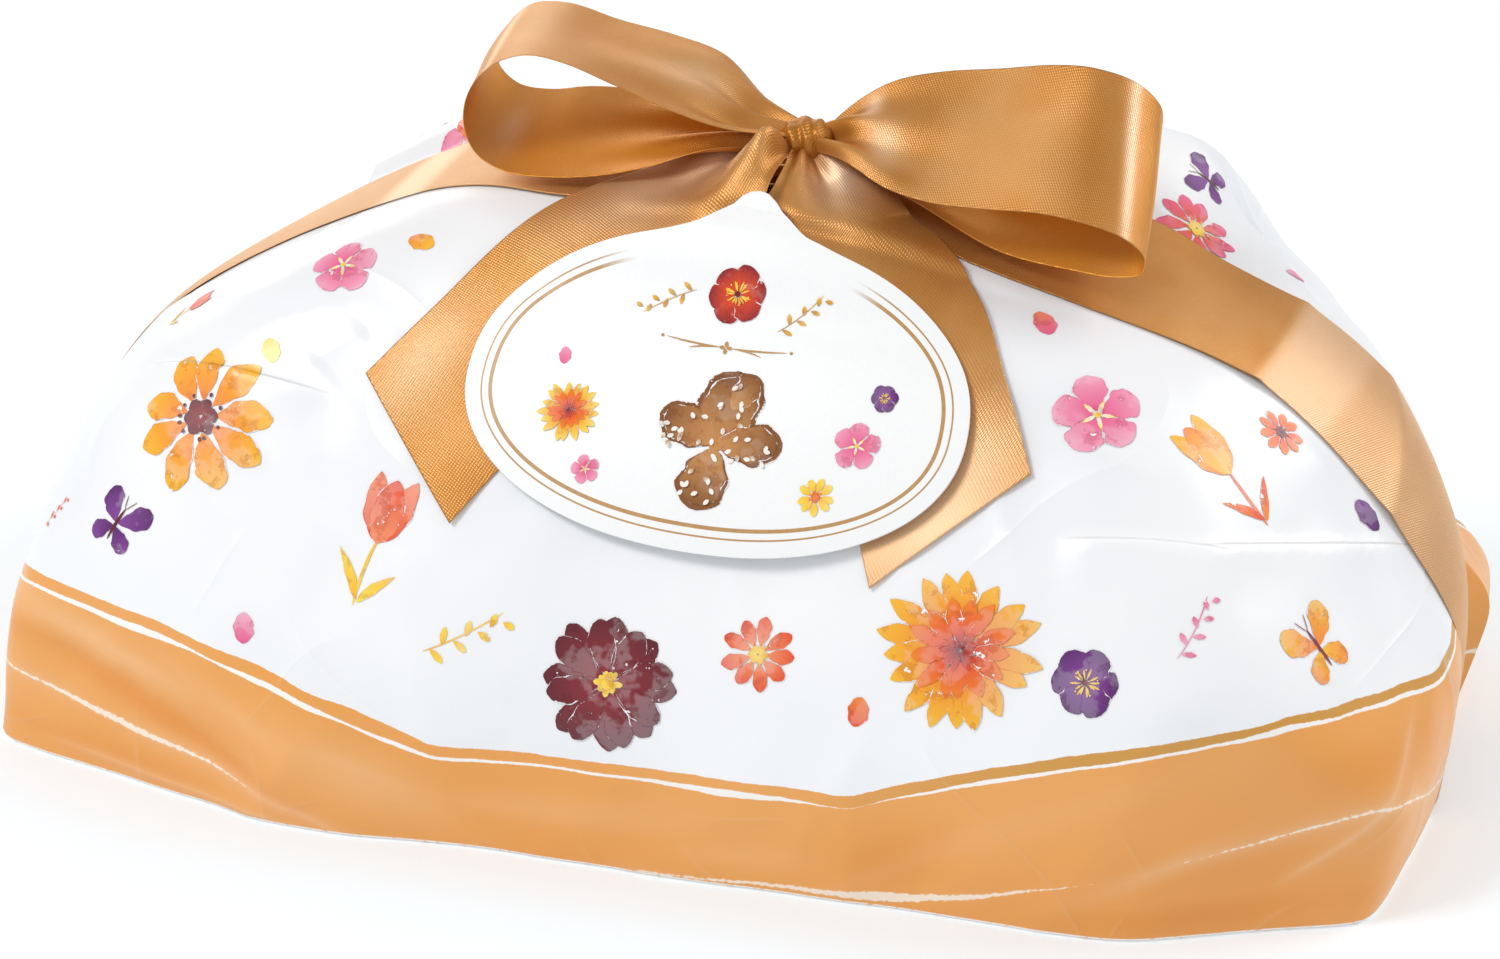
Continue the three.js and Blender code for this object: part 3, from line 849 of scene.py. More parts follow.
def makeFilm():
    # the rings with a pole at each end, and what the material needs to know at each point
    rings, rim = filmRings()
    rows, columns = rings.shape[:2]
    poles = np.array([[0, 0, bandPlan["hollow"] * mm], [0, 0, filmTable[-1, 0]]])
    points = np.vstack([rings.reshape(-1, 3), poles]) + heart
    faces = [gridCorners(rows, columns, True), poleFans(rows, columns)]

    # UV: run along the foot, and height above the band's top edge
    run = runAlong(np.vstack([rim, rim[:1]]))
    level = rings[..., 2]
    top = bandLine(np.append(filmTurns, 360), bandPlan["tops"])
    height = np.concatenate([level, level[:, :1]], 1) - top
    uvGrid = stacked(run, height)
    uvQuads = uvGrid.reshape(-1, 2)[gridCorners(rows, columns + 1, False).ravel()]
    uvFans = [np.stack([line[:-1], line[1:], line[:-1]], 1).reshape(-1, 2) for line in uvGrid[[0, -1]]]
    uv = np.concatenate([uvQuads, *uvFans])
    piece = fillMesh("film", points, faces, uv, bandFields(level), filmMaterial())
    finishPiece(piece, "film", "wrapper")


makeFilm()
print("film made")


# printed flowers: each is a set of brush strokes, laid on its carrier as thin sheets

inks = {
    "orange": (0.90, 0.24, 0.02), "amber": (0.93, 0.50, 0.03), "yellow": (0.95, 0.72, 0.10),
    "red": (0.80, 0.075, 0.02), "coral": (0.90, 0.27, 0.12), "maroon": (0.12, 0.012, 0.02),
    "wine": (0.26, 0.02, 0.03), "purple": (0.10, 0.015, 0.14), "violet": (0.23, 0.05, 0.30),
    "pink": (0.80, 0.12, 0.28), "rose": (0.88, 0.36, 0.50), "brown": (0.24, 0.09, 0.025),
    "crust": (0.58, 0.27, 0.09), "sugar": (0.90, 0.87, 0.80), "gold": (0.50, 0.27, 0.08),
    "paper": (0.84, 0.83, 0.81),
}

# rows along and columns across each stroke, its lift off the carrier and off the stroke below it, mm
strokePlan = {"rows": 16, "columns": 11, "lift": 0.14, "layer": 0.012}


def stroke(u, v, heading, length, width, belly, blunt, bend, first, second):
    # one stroke: its base, heading in degrees, length, width, where it is widest, how blunt it is,
    # its sideways bend, and the inks at its base and tip
    return (u, v, heading, length, width, belly, blunt, bend, *inks[first], *inks[second])


def ringOf(count, radius, length, width, belly, blunt, first, second, start=0, bend=0, jitter=0, seed=1):
    # strokes that point outwards from a small circle
    source = np.random.default_rng(seed)
    strokes = []
    for index in range(count):
        heading = start + 360 * index / count + source.uniform(-1, 1) * jitter * 60
        long = length * (1 + source.uniform(-1, 1) * jitter)
        side = source.choice([-1, 1])
        turn = math.radians(heading)
        u, v = radius * math.cos(turn), radius * math.sin(turn)
        strokes.append(stroke(u, v, heading, long, width, belly, blunt, bend * side, first, second))
    return strokes


def dot(u, v, size, first, second):
    # a stroke about as wide as it is long, with its middle at the place
    return stroke(u - size / 2, v, 0, size, size * 0.95, 1.0, 0.5, 0, first, second)


def daisy(petals, middle, seed):
    # nine long petals, a small rosette and a ring of dots
    strokes = ringOf(9, 0.20, 0.78, 0.40, 1.45, 0.62, *petals, jitter=0.07, bend=0.05, seed=seed)
    strokes += ringOf(6, 0.02, 0.24, 0.20, 1.2, 0.6, *middle, jitter=0.1, seed=seed + 1)
    strokes += ringOf(11, 0.27, 0.05, 0.05, 1.0, 0.5, middle[1], middle[1], jitter=0.3, seed=seed + 2)
    return strokes


def anemone(petals, seed):
    # six broad petals, stamens, a ring of dots and a dark middle
    strokes = ringOf(6, 0.10, 0.88, 0.88, 1.35, 0.5, *petals, start=12, jitter=0.06, bend=0.04, seed=seed)
    pollen = ("yellow", "amber")
    strokes += ringOf(15, 0.10, 0.30, 0.06, 1.3, 0.7, *pollen, jitter=0.22, bend=0.02, seed=seed + 3)
    strokes += ringOf(9, 0.34, 0.05, 0.05, 1.0, 0.5, "yellow", "yellow", jitter=0.4, seed=seed + 4)
    return strokes + [dot(0, 0, 0.20, "maroon", "wine")]


def blossom(petals, seed):
    # five round petals with a pale stroke on each
    strokes = ringOf(5, 0.10, 0.86, 0.78, 1.6, 0.55, *petals, start=18, jitter=0.05, seed=seed)
    strokes += ringOf(5, 0.04, 0.34, 0.10, 1.0, 0.8, "paper", "yellow", start=54, jitter=0.05, seed=seed + 1)
    return strokes + [dot(0, 0, 0.16, "yellow", "amber")]


def tulip(petals, leaves):
    # a stem, two leaves and three petals
    return [
        stroke(0.02, -0.02, 262, 0.98, 0.055, 1.0, 0.3, 0.10, *leaves),
        stroke(0.00, -0.92, 118, 0.78, 0.15, 0.8, 0.9, 0.16, *leaves),
        stroke(0.02, -0.95, 58, 0.70, 0.15, 0.8, 0.9, -0.18, *leaves[::-1]),
        stroke(0.00, -0.06, 112, 0.98, 0.40, 0.95, 0.7, -0.10, *petals),
        stroke(0.04, -0.06, 68, 1.00, 0.40, 0.95, 0.7, 0.10, *petals),
        stroke(0.02, -0.08, 90, 0.92, 0.50, 0.95, 0.6, 0.0, *petals[::-1]),
    ]


def bud(petals):
    # one drop-shaped stroke
    return [stroke(0, -0.9, 90, 1.8, 1.25, 1.0, 0.55, 0.06, *petals)]


def sprig(leaves):
    # a bent stem with seven leaves on alternate sides, which grow shorter towards its tip
    strokes = [stroke(-0.9, -0.55, 32, 2.0, 0.035, 1.0, 0.2, 0.14, *leaves)]
    for index in range(7):
        t = (index + 0.6) / 7
        u, v = -0.9 + 2.0 * t * 0.848, -0.55 + 2.0 * t * 0.53 + 0.10 * t * t
        side = 1 if index % 2 else -1
        heading = 32 + side * (62 - 20 * t)
        strokes.append(stroke(u, v, heading, 0.44 - 0.16 * t, 0.16, 1.2, 0.7, 0.03 * side, *leaves))
    return strokes


def butterfly(wings, body):
    # on each side an upper wing, a lower wing and a feeler, with the body between the wings and feelers
    upper, lower, feelers = [], [], []
    for side in (1, -1):
        upper.append(stroke(0.04 * side, 0.05, 90 - 50 * side, 1.0, 0.62, 1.7, 0.5, 0.05 * side, *wings))
        turn = 90 - 130 * side
        lower.append(stroke(0.04 * side, -0.05, turn, 0.72, 0.50, 1.6, 0.5, -0.05 * side, *wings[::-1]))
        turn = 90 - 28 * side
        feelers.append(stroke(0.02 * side, 0.45, turn, 0.36, 0.025, 1.0, 0.3, 0.05 * side, body, body))
    middle = stroke(0.0, -0.45, 90, 0.95, 0.10, 1.0, 0.6, 0.0, body, body)
    return upper + lower + [middle] + feelers


def gerbera(petals, middle, seed):
    # three rings of narrow petals, one over the other
    rim, core = middle
    strokes = ringOf(17, 0.16, 0.82, 0.27, 1.25, 0.75, *petals, jitter=0.09, bend=0.05, seed=seed)
    inner = (rim, petals[0])
    strokes += ringOf(13, 0.12, 0.52, 0.20, 1.2, 0.75, *inner, start=9, jitter=0.12, bend=0.05, seed=seed + 1)
    strokes += ringOf(12, 0.02, 0.22, 0.09, 1.2, 0.6, core, rim, jitter=0.2, seed=seed + 2)
    return strokes


def cosmos(petals, seed):
    # eight petals with notched tips, each of two strokes that lean apart
    strokes = []
    same = {"jitter": 0.05, "bend": 0.03, "seed": seed}
    for lean, long in ((-7, 0.84), (8, 0.80)):
        strokes += ringOf(8, 0.12, long, 0.40, 1.5, 0.55, *petals, start=lean, **same)
    strokes += ringOf(10, 0.05, 0.13, 0.09, 1.0, 0.5, "amber", "yellow", jitter=0.3, seed=seed + 3)
    return strokes + [dot(0, 0, 0.17, "yellow", "amber")]


def strokeSheets(strokes, size, roll):
    # all strokes of one flower as grids in its own plane: half the width across at t along the stroke
    # is sin(pi t^belly)^blunt, with a small wobble
    plan = np.array(strokes)[:, None, None, :]
    t = np.linspace(0.004, 0.996, strokePlan["rows"])[None, :, None]
    c = np.linspace(-1, 1, strokePlan["columns"])[None, None, :]
    u0, v0, heading, length, width, belly, blunt, bend = np.moveaxis(plan[..., :8], -1, 0)
    half = width / 2 * np.sin(np.pi * t**belly) ** blunt
    wobble = 1 + 0.07 * np.sin(t * 17 + u0 * 31 + v0 * 17 + c * 2)
    along = length * t
    aside = c * half * wobble + bend * length * t**2
    angle = np.radians(heading)
    u = u0 + along * np.cos(angle) - aside * np.sin(angle)
    v = v0 + along * np.sin(angle) + aside * np.cos(angle)
    turn = math.radians(roll)
    right, up = u * math.cos(turn) - v * math.sin(turn), u * math.sin(turn) + v * math.cos(turn)
    flat = np.stack([right, up], -1) * size
    # 1 at the sides and the tip of a stroke
    rim = np.maximum(np.abs(c) ** 3, np.maximum(2 * t - 1, 0) ** 5)
    blend = t[..., None] ** 1.2
    ink = plan[..., 8:11] * (1 - blend) + plan[..., 11:14] * blend
    return flat, np.broadcast_to(rim, u.shape), np.broadcast_to(ink, u.shape + (3,))


def printMaterial(name, onCard):
    # watercolour: hard-edged pale washes, darker pools, a broken line of pigment at the rim, bare flecks
    shader = Shader(name)
    spot = shader.objectSpot()
    ink = shader.attribute("ink", "Color")
    rim = shader.attribute("rim")
    wash = shader.noise(spot, 95.0, 3.0, 0.6)
    pool = shader.noise(spot, 230.0, 4.0, 0.65)
    speck = shader.noise(spot, 700.0, 3.0, 0.6)
    if onCard:
        paper, normal = (0.89, 0.89, 0.89), shader.bump(pool, 0.00005, 0.3)
    else:
        # the paper between strokes is the film's white with its painted fold highlight
        normal, creaseHighlight = filmSkin(shader, spot)
        paper = filmWhite(shader, spot, creaseHighlight)
    pale = shader.mix(0.15, ink, paper)
    colour = shader.mix(wash.rising(0.50, 0.56) * (0.5 if onCard else 0.85), ink, pale)
    deep = shader.mix(1.0, ink, (0.72, 0.55, 0.55), "MULTIPLY")
    colour = shader.mix(pool.rising(0.54, 0.60) * 0.55, colour, deep)
    pigment = rim.rising(0.72, 0.92) * wash.rising(0.36, 0.44) * 0.5
    colour = shader.mix(pigment, colour, deep)
    bare = (speck * 0.45 + pool * 0.55).rising(0.63, 0.645) * (0.4 if onCard else 1.0)
    torn = (rim + (pool - 0.5) * 1.1 + (speck - 0.5) * 0.7).rising(0.98, 1.02)
    colour = shader.mix(bare.most(torn), colour, paper)
    gloss = {"Roughness": 0.6, "IOR": 1.3} if onCard else {"Roughness": 0.3, "IOR": 1.5}
    return shader.finish({"Base Color": colour, "Normal": normal, **gloss})


def printPiece(name, flowers, carrier, slotName, material):
    # every flower is (place, size, roll, strokes); carrier turns a place and flat offsets into points
    points, rims, shades = [], [], []
    for place, size, roll, strokes in flowers:
        flat, rim, ink = strokeSheets(strokes, size, roll)
        layer = strokePlan["lift"] + strokePlan["layer"] * np.arange(len(strokes))[:, None, None]
        spots = carrier(place, flat[..., 0], flat[..., 1], np.broadcast_to(layer, rim.shape))
        points.append(spots.reshape(-1, 3))
        rims.append(rim.ravel())
        shades.append(ink.reshape(-1, 3))
    points = np.concatenate(points)
    rows, columns = strokePlan["rows"], strokePlan["columns"]
    corners = gridCorners(rows, columns, False)[:, ::-1]
    starts = np.arange(0, len(points), rows * columns)
    faces = (starts[:, None, None] + corners).reshape(-1, 4)
    fields = {"rim": np.concatenate(rims), "ink": np.concatenate(shades)}
    piece = fillMesh(name, points, [faces], None, fields, material)
    finishPiece(piece, slotName)


def filmCarrier(place, u, v, lift):
    # flat offsets in millimetres, in the plane that touches the film at the place (turn, rise)
    middle = onCreasedFilm(looking(*place) * 0.1, np.zeros(()))
    out = filmNormal(middle)
    level = unit(np.cross(np.array([0.0, 0, 1]), out))
    up = np.cross(out, level)
    spots = middle + (level * u[..., None] + up * v[..., None]) * mm
    return onCreasedFilm(spots, lift * mm) + heart


filmFlowers = [
    # place (turn, rise), size in mm, roll, strokes
    ((212, 33), 19, 14, daisy(("orange", "amber"), ("wine", "maroon"), 2)),
    ((205, 50), 9, 30, blossom(("pink", "rose"), 3)),
    ((232, 33), 17, -12, tulip(("red", "coral"), ("amber", "yellow"))),
    ((211, 41), 3.6, 20, bud(("yellow", "amber"))),
    ((213, 22), 9.5, -20, butterfly(("violet", "purple"), "maroon")),
    ((225, 19), 4.2, 0, bud(("pink", "rose"))),
    ((247, 27), 11, -8, sprig(("amber", "yellow"))),
    ((267, 26), 17, 8, cosmos(("wine", "maroon"), 5)),
    ((288, 31), 9, 0, daisy(("coral", "red"), ("yellow", "amber"), 6)),
    ((300, 24), 4.0, -15, bud(("red", "orange"))),
    ((311, 29), 19, 22, gerbera(("orange", "amber"), ("red", "wine"), 7)),
    ((333, 45), 11, 10, blossom(("pink", "rose"), 8)),
    ((320, 24), 8, -10, anemone(("violet", "purple"), 9)),
    ((340, 36), 16, 16, tulip(("orange", "amber"), ("red", "orange"))),
    ((339, 55), 4.4, 0, bud(("pink", "coral"))),
    ((15, 50), 11, 12, daisy(("red", "pink"), ("yellow", "amber"), 10)),
    ((339, 21), 11, 14, butterfly(("orange", "amber"), "wine")),
    ((352, 27), 5.0, 10, bud(("purple", "violet"))),
    ((329, 26), 8, 20, sprig(("rose", "pink"))),
    ((206, 57), 4.2, 80, bud(("amber", "orange"))),
    ((163, 54), 9, 0, blossom(("rose", "pink"), 11)),
    ((220, 70), 9, 20, daisy(("amber", "yellow"), ("orange", "red"), 12)),
    ((349, 36), 6, 0, daisy(("red", "orange"), ("maroon", "wine"), 13)),
    ((206, 19), 5.5, 30, sprig(("orange", "red"))),
    ((196, 36), 8, 0, tulip(("coral", "red"), ("amber", "yellow"))),
]


def backFlowers():
    # the same flowers scattered over the ends and the back, clear of the ribbon and the band;
    # each kind is given the seed of its strokes and says its size
    source = np.random.default_rng(12)
    kinds = [
        lambda k: (daisy(("orange", "amber"), ("wine", "maroon"), k), 13),
        lambda k: (bud(("pink", "rose")), 4),
        lambda k: (cosmos(("wine", "maroon"), k), 13),
        lambda k: (sprig(("amber", "yellow")), 9),
        lambda k: (tulip(("red", "coral"), ("amber", "yellow")), 13),
        lambda k: (bud(("amber", "orange")), 4),
        lambda k: (blossom(("pink", "rose"), k), 9),
        lambda k: (butterfly(("violet", "purple"), "maroon"), 9),
        lambda k: (gerbera(("orange", "amber"), ("red", "wine"), k), 15),
    ]
    made = []
    for row, rise in enumerate((25, 38, 52)):
        for turn in range(22, 165, 17 + 3 * row):
            strokes, size = kinds[(len(made) * 4 + row) % len(kinds)](20 + len(made))
            place = (turn + source.uniform(-5, 5), rise + source.uniform(-3, 3))
            spot = onCreasedFilm(looking(*place) * 0.1, np.zeros(()))
            if spot[1] > (24 + size) * mm:
                made.append((place, size * source.uniform(0.8, 1.1), source.uniform(-40, 40), strokes))
    return made


filmInk = printMaterial("filmPrint", False)
printPiece("filmPrint", filmFlowers + backFlowers(), filmCarrier, "film", filmInk)
print("print made")


# satin

satinPlan = {
    "thickness": 0.2,
    # spacing of the ribs, and the width that UV counts across, mm
    "weave": 0.62,
    "width": 42,
    # the outermost steps across a strap, as a share of its width
    "rim": 0.008,
    # deep is the weave's dark and the colour of painted shade; glow and sheen are colours of painted light
    "deep": (0.40, 0.145, 0.015),
    "gold": (0.60, 0.265, 0.07),
    "pale": (0.67, 0.34, 0.12),
    "glow": (0.86, 0.35, 0.03),
    "sheen": (0.97, 0.74, 0.53),
    "tint": (1.0, 0.74, 0.46, 1),
}


def satinMaterial():
    # gold cloth with two slanting sets of ribs; attributes paint shade, a glow of light inside the loops and
    # pale sheen into its colour
    shader = Shader("satin")
    spot = shader.objectSpot()
    run, across = shader.runAndAcross()
    rib = 2 * math.pi / (satinPlan["weave"] * mm)
    diagonal = ((run + across * 0.35) * rib).sine()
    cross = ((across - run * 0.2) * (rib * 0.8)).sine()
    weave = diagonal * 0.6 + cross * 0.4
    cloud = shader.noise(spot, 45.0, 2.0)
    thread = shader.streaks(run * 500.0, across * 3500.0)
    colour = shader.mix(cloud.rising(0.35, 0.7), satinPlan["gold"], satinPlan["pale"])
    # the weave and threads darken it as cloth; the shade attribute adds painted shade, the glow and sheen
    # attributes painted light
    shade = (weave * 0.16 + (thread - 0.5) * 0.25 + 0.14 + shader.attribute("shade")).most(0.0)
    colour = shader.mix(shade.least(1.0), colour, satinPlan["deep"])
    colour = shader.mix(shader.attribute("glow").least(1.0), colour, satinPlan["glow"])
    sheen = shader.attribute("sheen") * (1.1 - thread * 0.3)
    colour = shader.mix(sheen.least(1.0), colour, satinPlan["sheen"])
    normal = shader.bump(weave * 0.5 + thread * 0.4, 0.00012, 0.6)
    roughness = thread * 0.12 + 0.31
    return shader.finish({
        "Base Color": colour, "Roughness": roughness, "Metallic": 0.5, "Normal": normal,
        "Coat Weight": 0.06, "Coat Roughness": 0.24, "Specular Tint": satinPlan["tint"],
    })


satin = satinMaterial()


def patches(t, w, places):
    # soft spots of painted sheen, shade and glow on a strap: place along and across, the spreads of both, and
    # the strength
    total = np.zeros(np.broadcast(t, w).shape)
    for along, across, far, wide, strength in places:
        total = total + strength * np.exp(-(((t - along) / far) ** 2) - ((w - across) / wide) ** 2)
    return total


def rimSteps(count):
    # even steps from 0 to 1 with one more close to each end, so that only the rim shades as a rim
    rim = satinPlan["rim"]
    return np.concatenate([[0], np.linspace(rim, 1 - rim, count - 2), [1]])


def satinPiece(name, grid, points, corners, across, fields):
    # satin of some thickness from a mesh; UV is in metres along and across the grid
    uvGrid = stacked(runAlong(grid.mean(1))[:, None], (across - 0.5) * satinPlan["width"] * mm)
    uv = uvGrid.reshape(-1, 2)[corners.ravel()]
    piece = fillMesh(name, points, [corners % len(points)], uv, fields, satin)
    shell = piece.modifiers.new("thickness", "SOLIDIFY")
    shell.thickness = satinPlan["thickness"] * mm
    shell.offset = 0
    return piece


def bowPiece(name, grid, plan, t, w):
    # a strap of the bow from a grid of rows at the places t along it and w across
    spots = [key for key in ("sheens", "shades", "glows") if key in plan]
    fields = {key[:-1]: patches(t[:, None], w, plan[key]).ravel() for key in spots}
    corners = gridCorners(len(t), len(w), False)
    piece = satinPiece(name, grid, grid.reshape(-1, 3), corners, w, fields)
    finishPiece(piece, "ribbon", "bow")


# the ribbon round the pack

bandStrap = {
    "front": -22,
    "width": 42,
    "stations": 420,
    "columns": 22,
    "lift": 0.35,
    "floor": 1.1,
    "knotAt": (14, -4),
    "gatherReach": 46,
    "gatherWidth": 15,
    # a distance from the heart that is outside the film, in metres
    "beyond": 0.26,
    # creases across it: rise at the front and at the rear edge in degrees, height in mm
    "creases": [(40.5, 40.5, 1.1), (26, 32, 0.9), (66, 60, -0.5)],
    "creaseWidth": 1.6,
    # it sags between its creases by this much, in waves of this size, mm
    "slack": (0.25, 40),
    # between these rises at the left it comes to lie closer, by this share and no closer than this
    "closer": (112, 122),
    "closerBy": 0.6,
    "closest": 0.25,
    # its front edge dips into the film at the right end, up to these rises; share of the width, mm
    "dips": (14, 20),
    "dipWidth": 0.10,
    "dipDepth": 0.4,
    # how many folds the gathered part has across it, their height and the lift that they add, mm
    "gatherFolds": 3,
    "gatherHeight": 1.1,
    "gatherLift": 1.2,
    "underStations": 38,
    # painted sheen and painted shade in stretches: first and last rise, softness at each end, strength
    "sheens": [(8, 40.5, 0.8, 0.30), (34, 40.5, 0.8, 0.20), (112, 160, 6, 0.35), (123, 127.5, 1.2, 0.7)],
    "shades": [(41, 46, 1.6, 0.25), (50, 75, 5, 0.35), (0, 24, 3, 0.25)],
}


def makeBandStrap():
    # a strap over the film from its right foot to its left one and back below it, gathered at the knot
    plan = bandStrap
    rise = np.linspace(0, 180, plan["stations"])
    across = rimSteps(plan["columns"])
    heading = looking(0, rise)
    knotX, knotY = plan["knotAt"]
    x = findFilm(np.array([[0, knotY * mm, 0]]), heading, plan["beyond"])[:, 0] / mm
    near = np.exp(-(((x - knotX) / plan["gatherReach"]) ** 2) * 2)
    width = (plan["width"] - slidePlan["shoulderPinch"] * onShoulder(rise)) * (1 - near)
    width = width + plan["gatherWidth"] * near
    middle = (plan["front"] + plan["width"] / 2 + ribbonSlide(rise)) * (1 - near) + knotY * near
    y = (middle[:, None] + (across - 0.5) * width[:, None]) * mm
    start = stacked(0, y, 0)
    over = findFilm(start, np.broadcast_to(heading[:, None, :], start.shape), plan["beyond"])
    out = filmNormal(over)
    out[..., 1] = 0
    out = unit(out)
    sag, size = plan["slack"]
    slack = (waves(over * np.array([1, 0.4, 1]), size * mm, 21) + 0.4) * sag
    folds = plan["gatherHeight"] * np.sin(across * 2 * np.pi * plan["gatherFolds"] + 0.8)
    lift = plan["lift"] + np.maximum(slack, 0) + near[:, None] * (plan["gatherLift"] + folds)
    for front, rear, tall in plan["creases"]:
        away = np.abs(rise[:, None] - front - (rear - front) * across)
        lift = lift + tall * np.exp(-away / plan["creaseWidth"]) * (1 if tall > 0 else 0.6)
    closer = 1 - plan["closerBy"] * smoothStep(rise, *plan["closer"])
    lift = np.maximum(lift * closer[:, None], plan["closest"])
    dip = np.exp(-across / plan["dipWidth"]) * (1 - smoothStep(rise, *plan["dips"]))[:, None]
    lift = lift - (lift + plan["dipDepth"]) * dip
    over = over + out * (lift * mm + swell(over))[..., None]
    over[..., 2] = np.maximum(over[..., 2], plan["floor"] * mm)
    t = np.linspace(0, 1, plan["underStations"] + 2)[1:-1, None, None]
    under = over[-1] * (1 - t) + over[0] * t
    under[..., 2] = plan["floor"] * mm
    ring = np.concatenate([over, under])
    rows, columns = ring.shape[:2]
    fields = {}
    for key in ("sheens", "shades"):
        level = np.zeros(rows)
        for first, last, soft, strength in plan[key]:
            rising = smoothStep(rise, first - soft, first + soft)
            level[:len(rise)] += strength * rising * (1 - smoothStep(rise, last - soft, last + soft))
        fields[key[:-1]] = np.repeat(level, columns)
    closed = np.concatenate([ring, ring[:1]])
    corners = gridCorners(rows + 1, columns, False)[:, ::-1]
    piece = satinPiece("ribbonBand", closed, ring.reshape(-1, 3) + heart, corners, across, fields)
    finishPiece(piece, "ribbon", "ribbon_band")


makeBandStrap()
print("ribbon made")


# the bow

leftLoop = {
    # both edges of the strap, from the knot round the loop and back to it, mm
    "near": [
        (12, -8, 152), (-3, -18, 156), (-15, -20, 160), (-30, -20, 165.5), (-42, -20, 169.5),
        (-52, -20, 170.5), (-61, -20, 167), (-67, -20, 160), (-68.5, -20, 152), (-65.5, -20, 144.5),
        (-58, -20, 140.5), (-46, -20, 140), (-35, -20, 141.5), (-22, -19, 145), (-8, -14, 149),
        (10, -8, 149.5),
    ],
    "far": [
        (12, 1, 152), (-1, 11, 155), (-14, 18, 162.5), (-28, 20, 165.5), (-42, 20, 168), (-56, 20, 171),
        (-66, 20, 169.5), (-73, 20, 162), (-74.5, 19, 154.5), (-69, 18, 149.5), (-60, 18, 148.5),
        (-50, 18, 150), (-39, 17, 151), (-25, 15, 151.5), (-7, 8, 151), (10, 0, 150),
    ],
    "folds": 2.4,
    "foldHeight": 2.1,
    "turn": 0.6,
    # painted sheen, shade and glow: along, across, both spreads, strength
    "sheens": [
        (0.413, 0.5, 0.010, 0.8, 0.8), (0.36, 0.6, 0.04, 0.6, 0.30), (0.64, 0.45, 0.025, 0.25, 0.40),
        (0.14, 0.55, 0.04, 0.2, 0.35),
    ],
    "shades": [(0.30, 0.3, 0.05, 0.8, 0.3), (0.20, 0.15, 0.06, 0.2, 0.5), (0.07, 0.5, 0.03, 0.5, 0.6)],
    "glows": [(0.54, 0.5, 0.07, 0.9, 0.6), (0.70, 0.5, 0.09, 0.9, 0.8), (0.86, 0.5, 0.10, 0.9, 0.9)],
}

rightLoop = {
    "near": [
        (16, -8, 151), (28, -18, 152), (39, -23, 148.5), (50, -24, 146.5), (63, -24, 146.5),
        (76, -24, 147), (88, -24, 145.5), (97, -24, 143), (101.5, -23, 138.5), (100.5, -22, 134),
        (94, -21, 132), (85, -20, 132), (66, -19, 134), (44, -17, 143), (18, -8, 149.5),
    ],
    "far": [
        (16, 1, 152.5), (25, 3, 160), (33, 6, 164.5), (44, 8, 167.5), (58, 8, 170), (71, 8, 172),
        (81, 8, 172), (91, 9, 169), (96.5, 11, 163), (96, 13, 157), (91, 14, 153), (83, 15, 151),
        (66, 16, 151), (44, 13, 152), (18, 1, 150.5),
    ],
    "folds": 2.1,
    "foldHeight": 2.3,
    "turn": 2.2,
    "sheens": [(0.498, 0.5, 0.012, 0.8, 0.75), (0.13, 0.40, 0.03, 0.2, 0.4), (0.10, 0.80, 0.02, 0.14, 0.7)],
    "shades": [
        (0.43, 0.5, 0.05, 0.8, 0.65), (0.06, 0.6, 0.022, 0.3, 0.8), (0.16, 0.12, 0.04, 0.12, 0.6),
        (0.20, 0.75, 0.05, 0.25, 0.35), (0.545, 0.5, 0.02, 0.8, 0.35),
    ],
    "glows": [(0.64, 0.5, 0.06, 0.9, 0.9), (0.80, 0.5, 0.12, 0.9, 0.9)],
}

# for both loops: the share of the length that is gathered at the knot, how the folds' phase sways,
# and a soft ripple, mm
loopPlan = {
    "rows": 190, "columns": 36, "gather": 0.13, "sway": 1.4, "swayPace": 5,
    "ripple": 0.5, "rippleSize": 45,
}

# for both tails, in the same terms; the last row but one stands close to the cut end, and beyond is
# outside the film, in metres
tailPlan = {
    "rows": 110, "columns": 30, "lastRow": 0.003, "beyond": 0.2,
    "gather": 0.25, "folds": 3.2, "foldHeight": 0.7, "foldTurn": 1.2,
    "ripple": 0.35, "rippleSize": 34, "rippleFrom": (0.2, 0.5),
}

# places above the film in plan, with the lift off the film and the width there; slant shortens one side
tails = {
    "left": {
        "places": [
            (10.5, -6.5, 11.5, 9), (2, -12, 9, 30), (-9, -22, 4, 37), (-29, -38.5, 1.7, 42),
            (-46, -57.5, 1.4, 42), (-66.3, -76.6, 1.1, 42),
        ],
        "slant": 0.062,
        # near the knot it puffs up beside a valley: place across, width, height in mm
        "puffs": [(0.16, 0.19, 8.5), (-0.16, 0.08, -2.4), (-0.36, 0.10, 1.2)],
        "puffAt": 0.15,
        "turn": 0.3,
        # painted sheen and painted shade, in the same terms as for the loops
        "sheens": [
            (0.20, 0.50, 0.09, 0.11, 0.95), (0.28, 0.28, 0.09, 0.10, 0.75), (0.46, 0.24, 0.14, 0.26, 0.45),
            (0.92, 0.20, 0.10, 0.20, 0.25),
        ],
        "shades": [(0.12, 0.92, 0.08, 0.14, 0.6), (0.85, 0.5, 0.25, 0.8, 0.3)],
    },
    "right": {
        "places": [
            (16, -6.5, 11.5, 10), (22, -14, 7, 27), (28.5, -25.5, 4, 37), (44, -37.3, 1.7, 42),
            (57.7, -56, 1.4, 42), (73.1, -77.8, 1.1, 42),
        ],
        "slant": -0.083,
        "puffs": [(-0.28, 0.12, 2.0), (0.0, 0.08, -2.2), (0.28, 0.14, 3.0)],
        "puffAt": 0.12,
        "turn": 1.9,
        "sheens": [(0.20, 0.60, 0.12, 0.22, 0.85), (0.97, 0.4, 0.10, 0.6, 0.5)],
        "shades": [(0.07, 0.12, 0.07, 0.12, 0.5), (0.50, 0.75, 0.12, 0.25, 0.5)],
    },
}

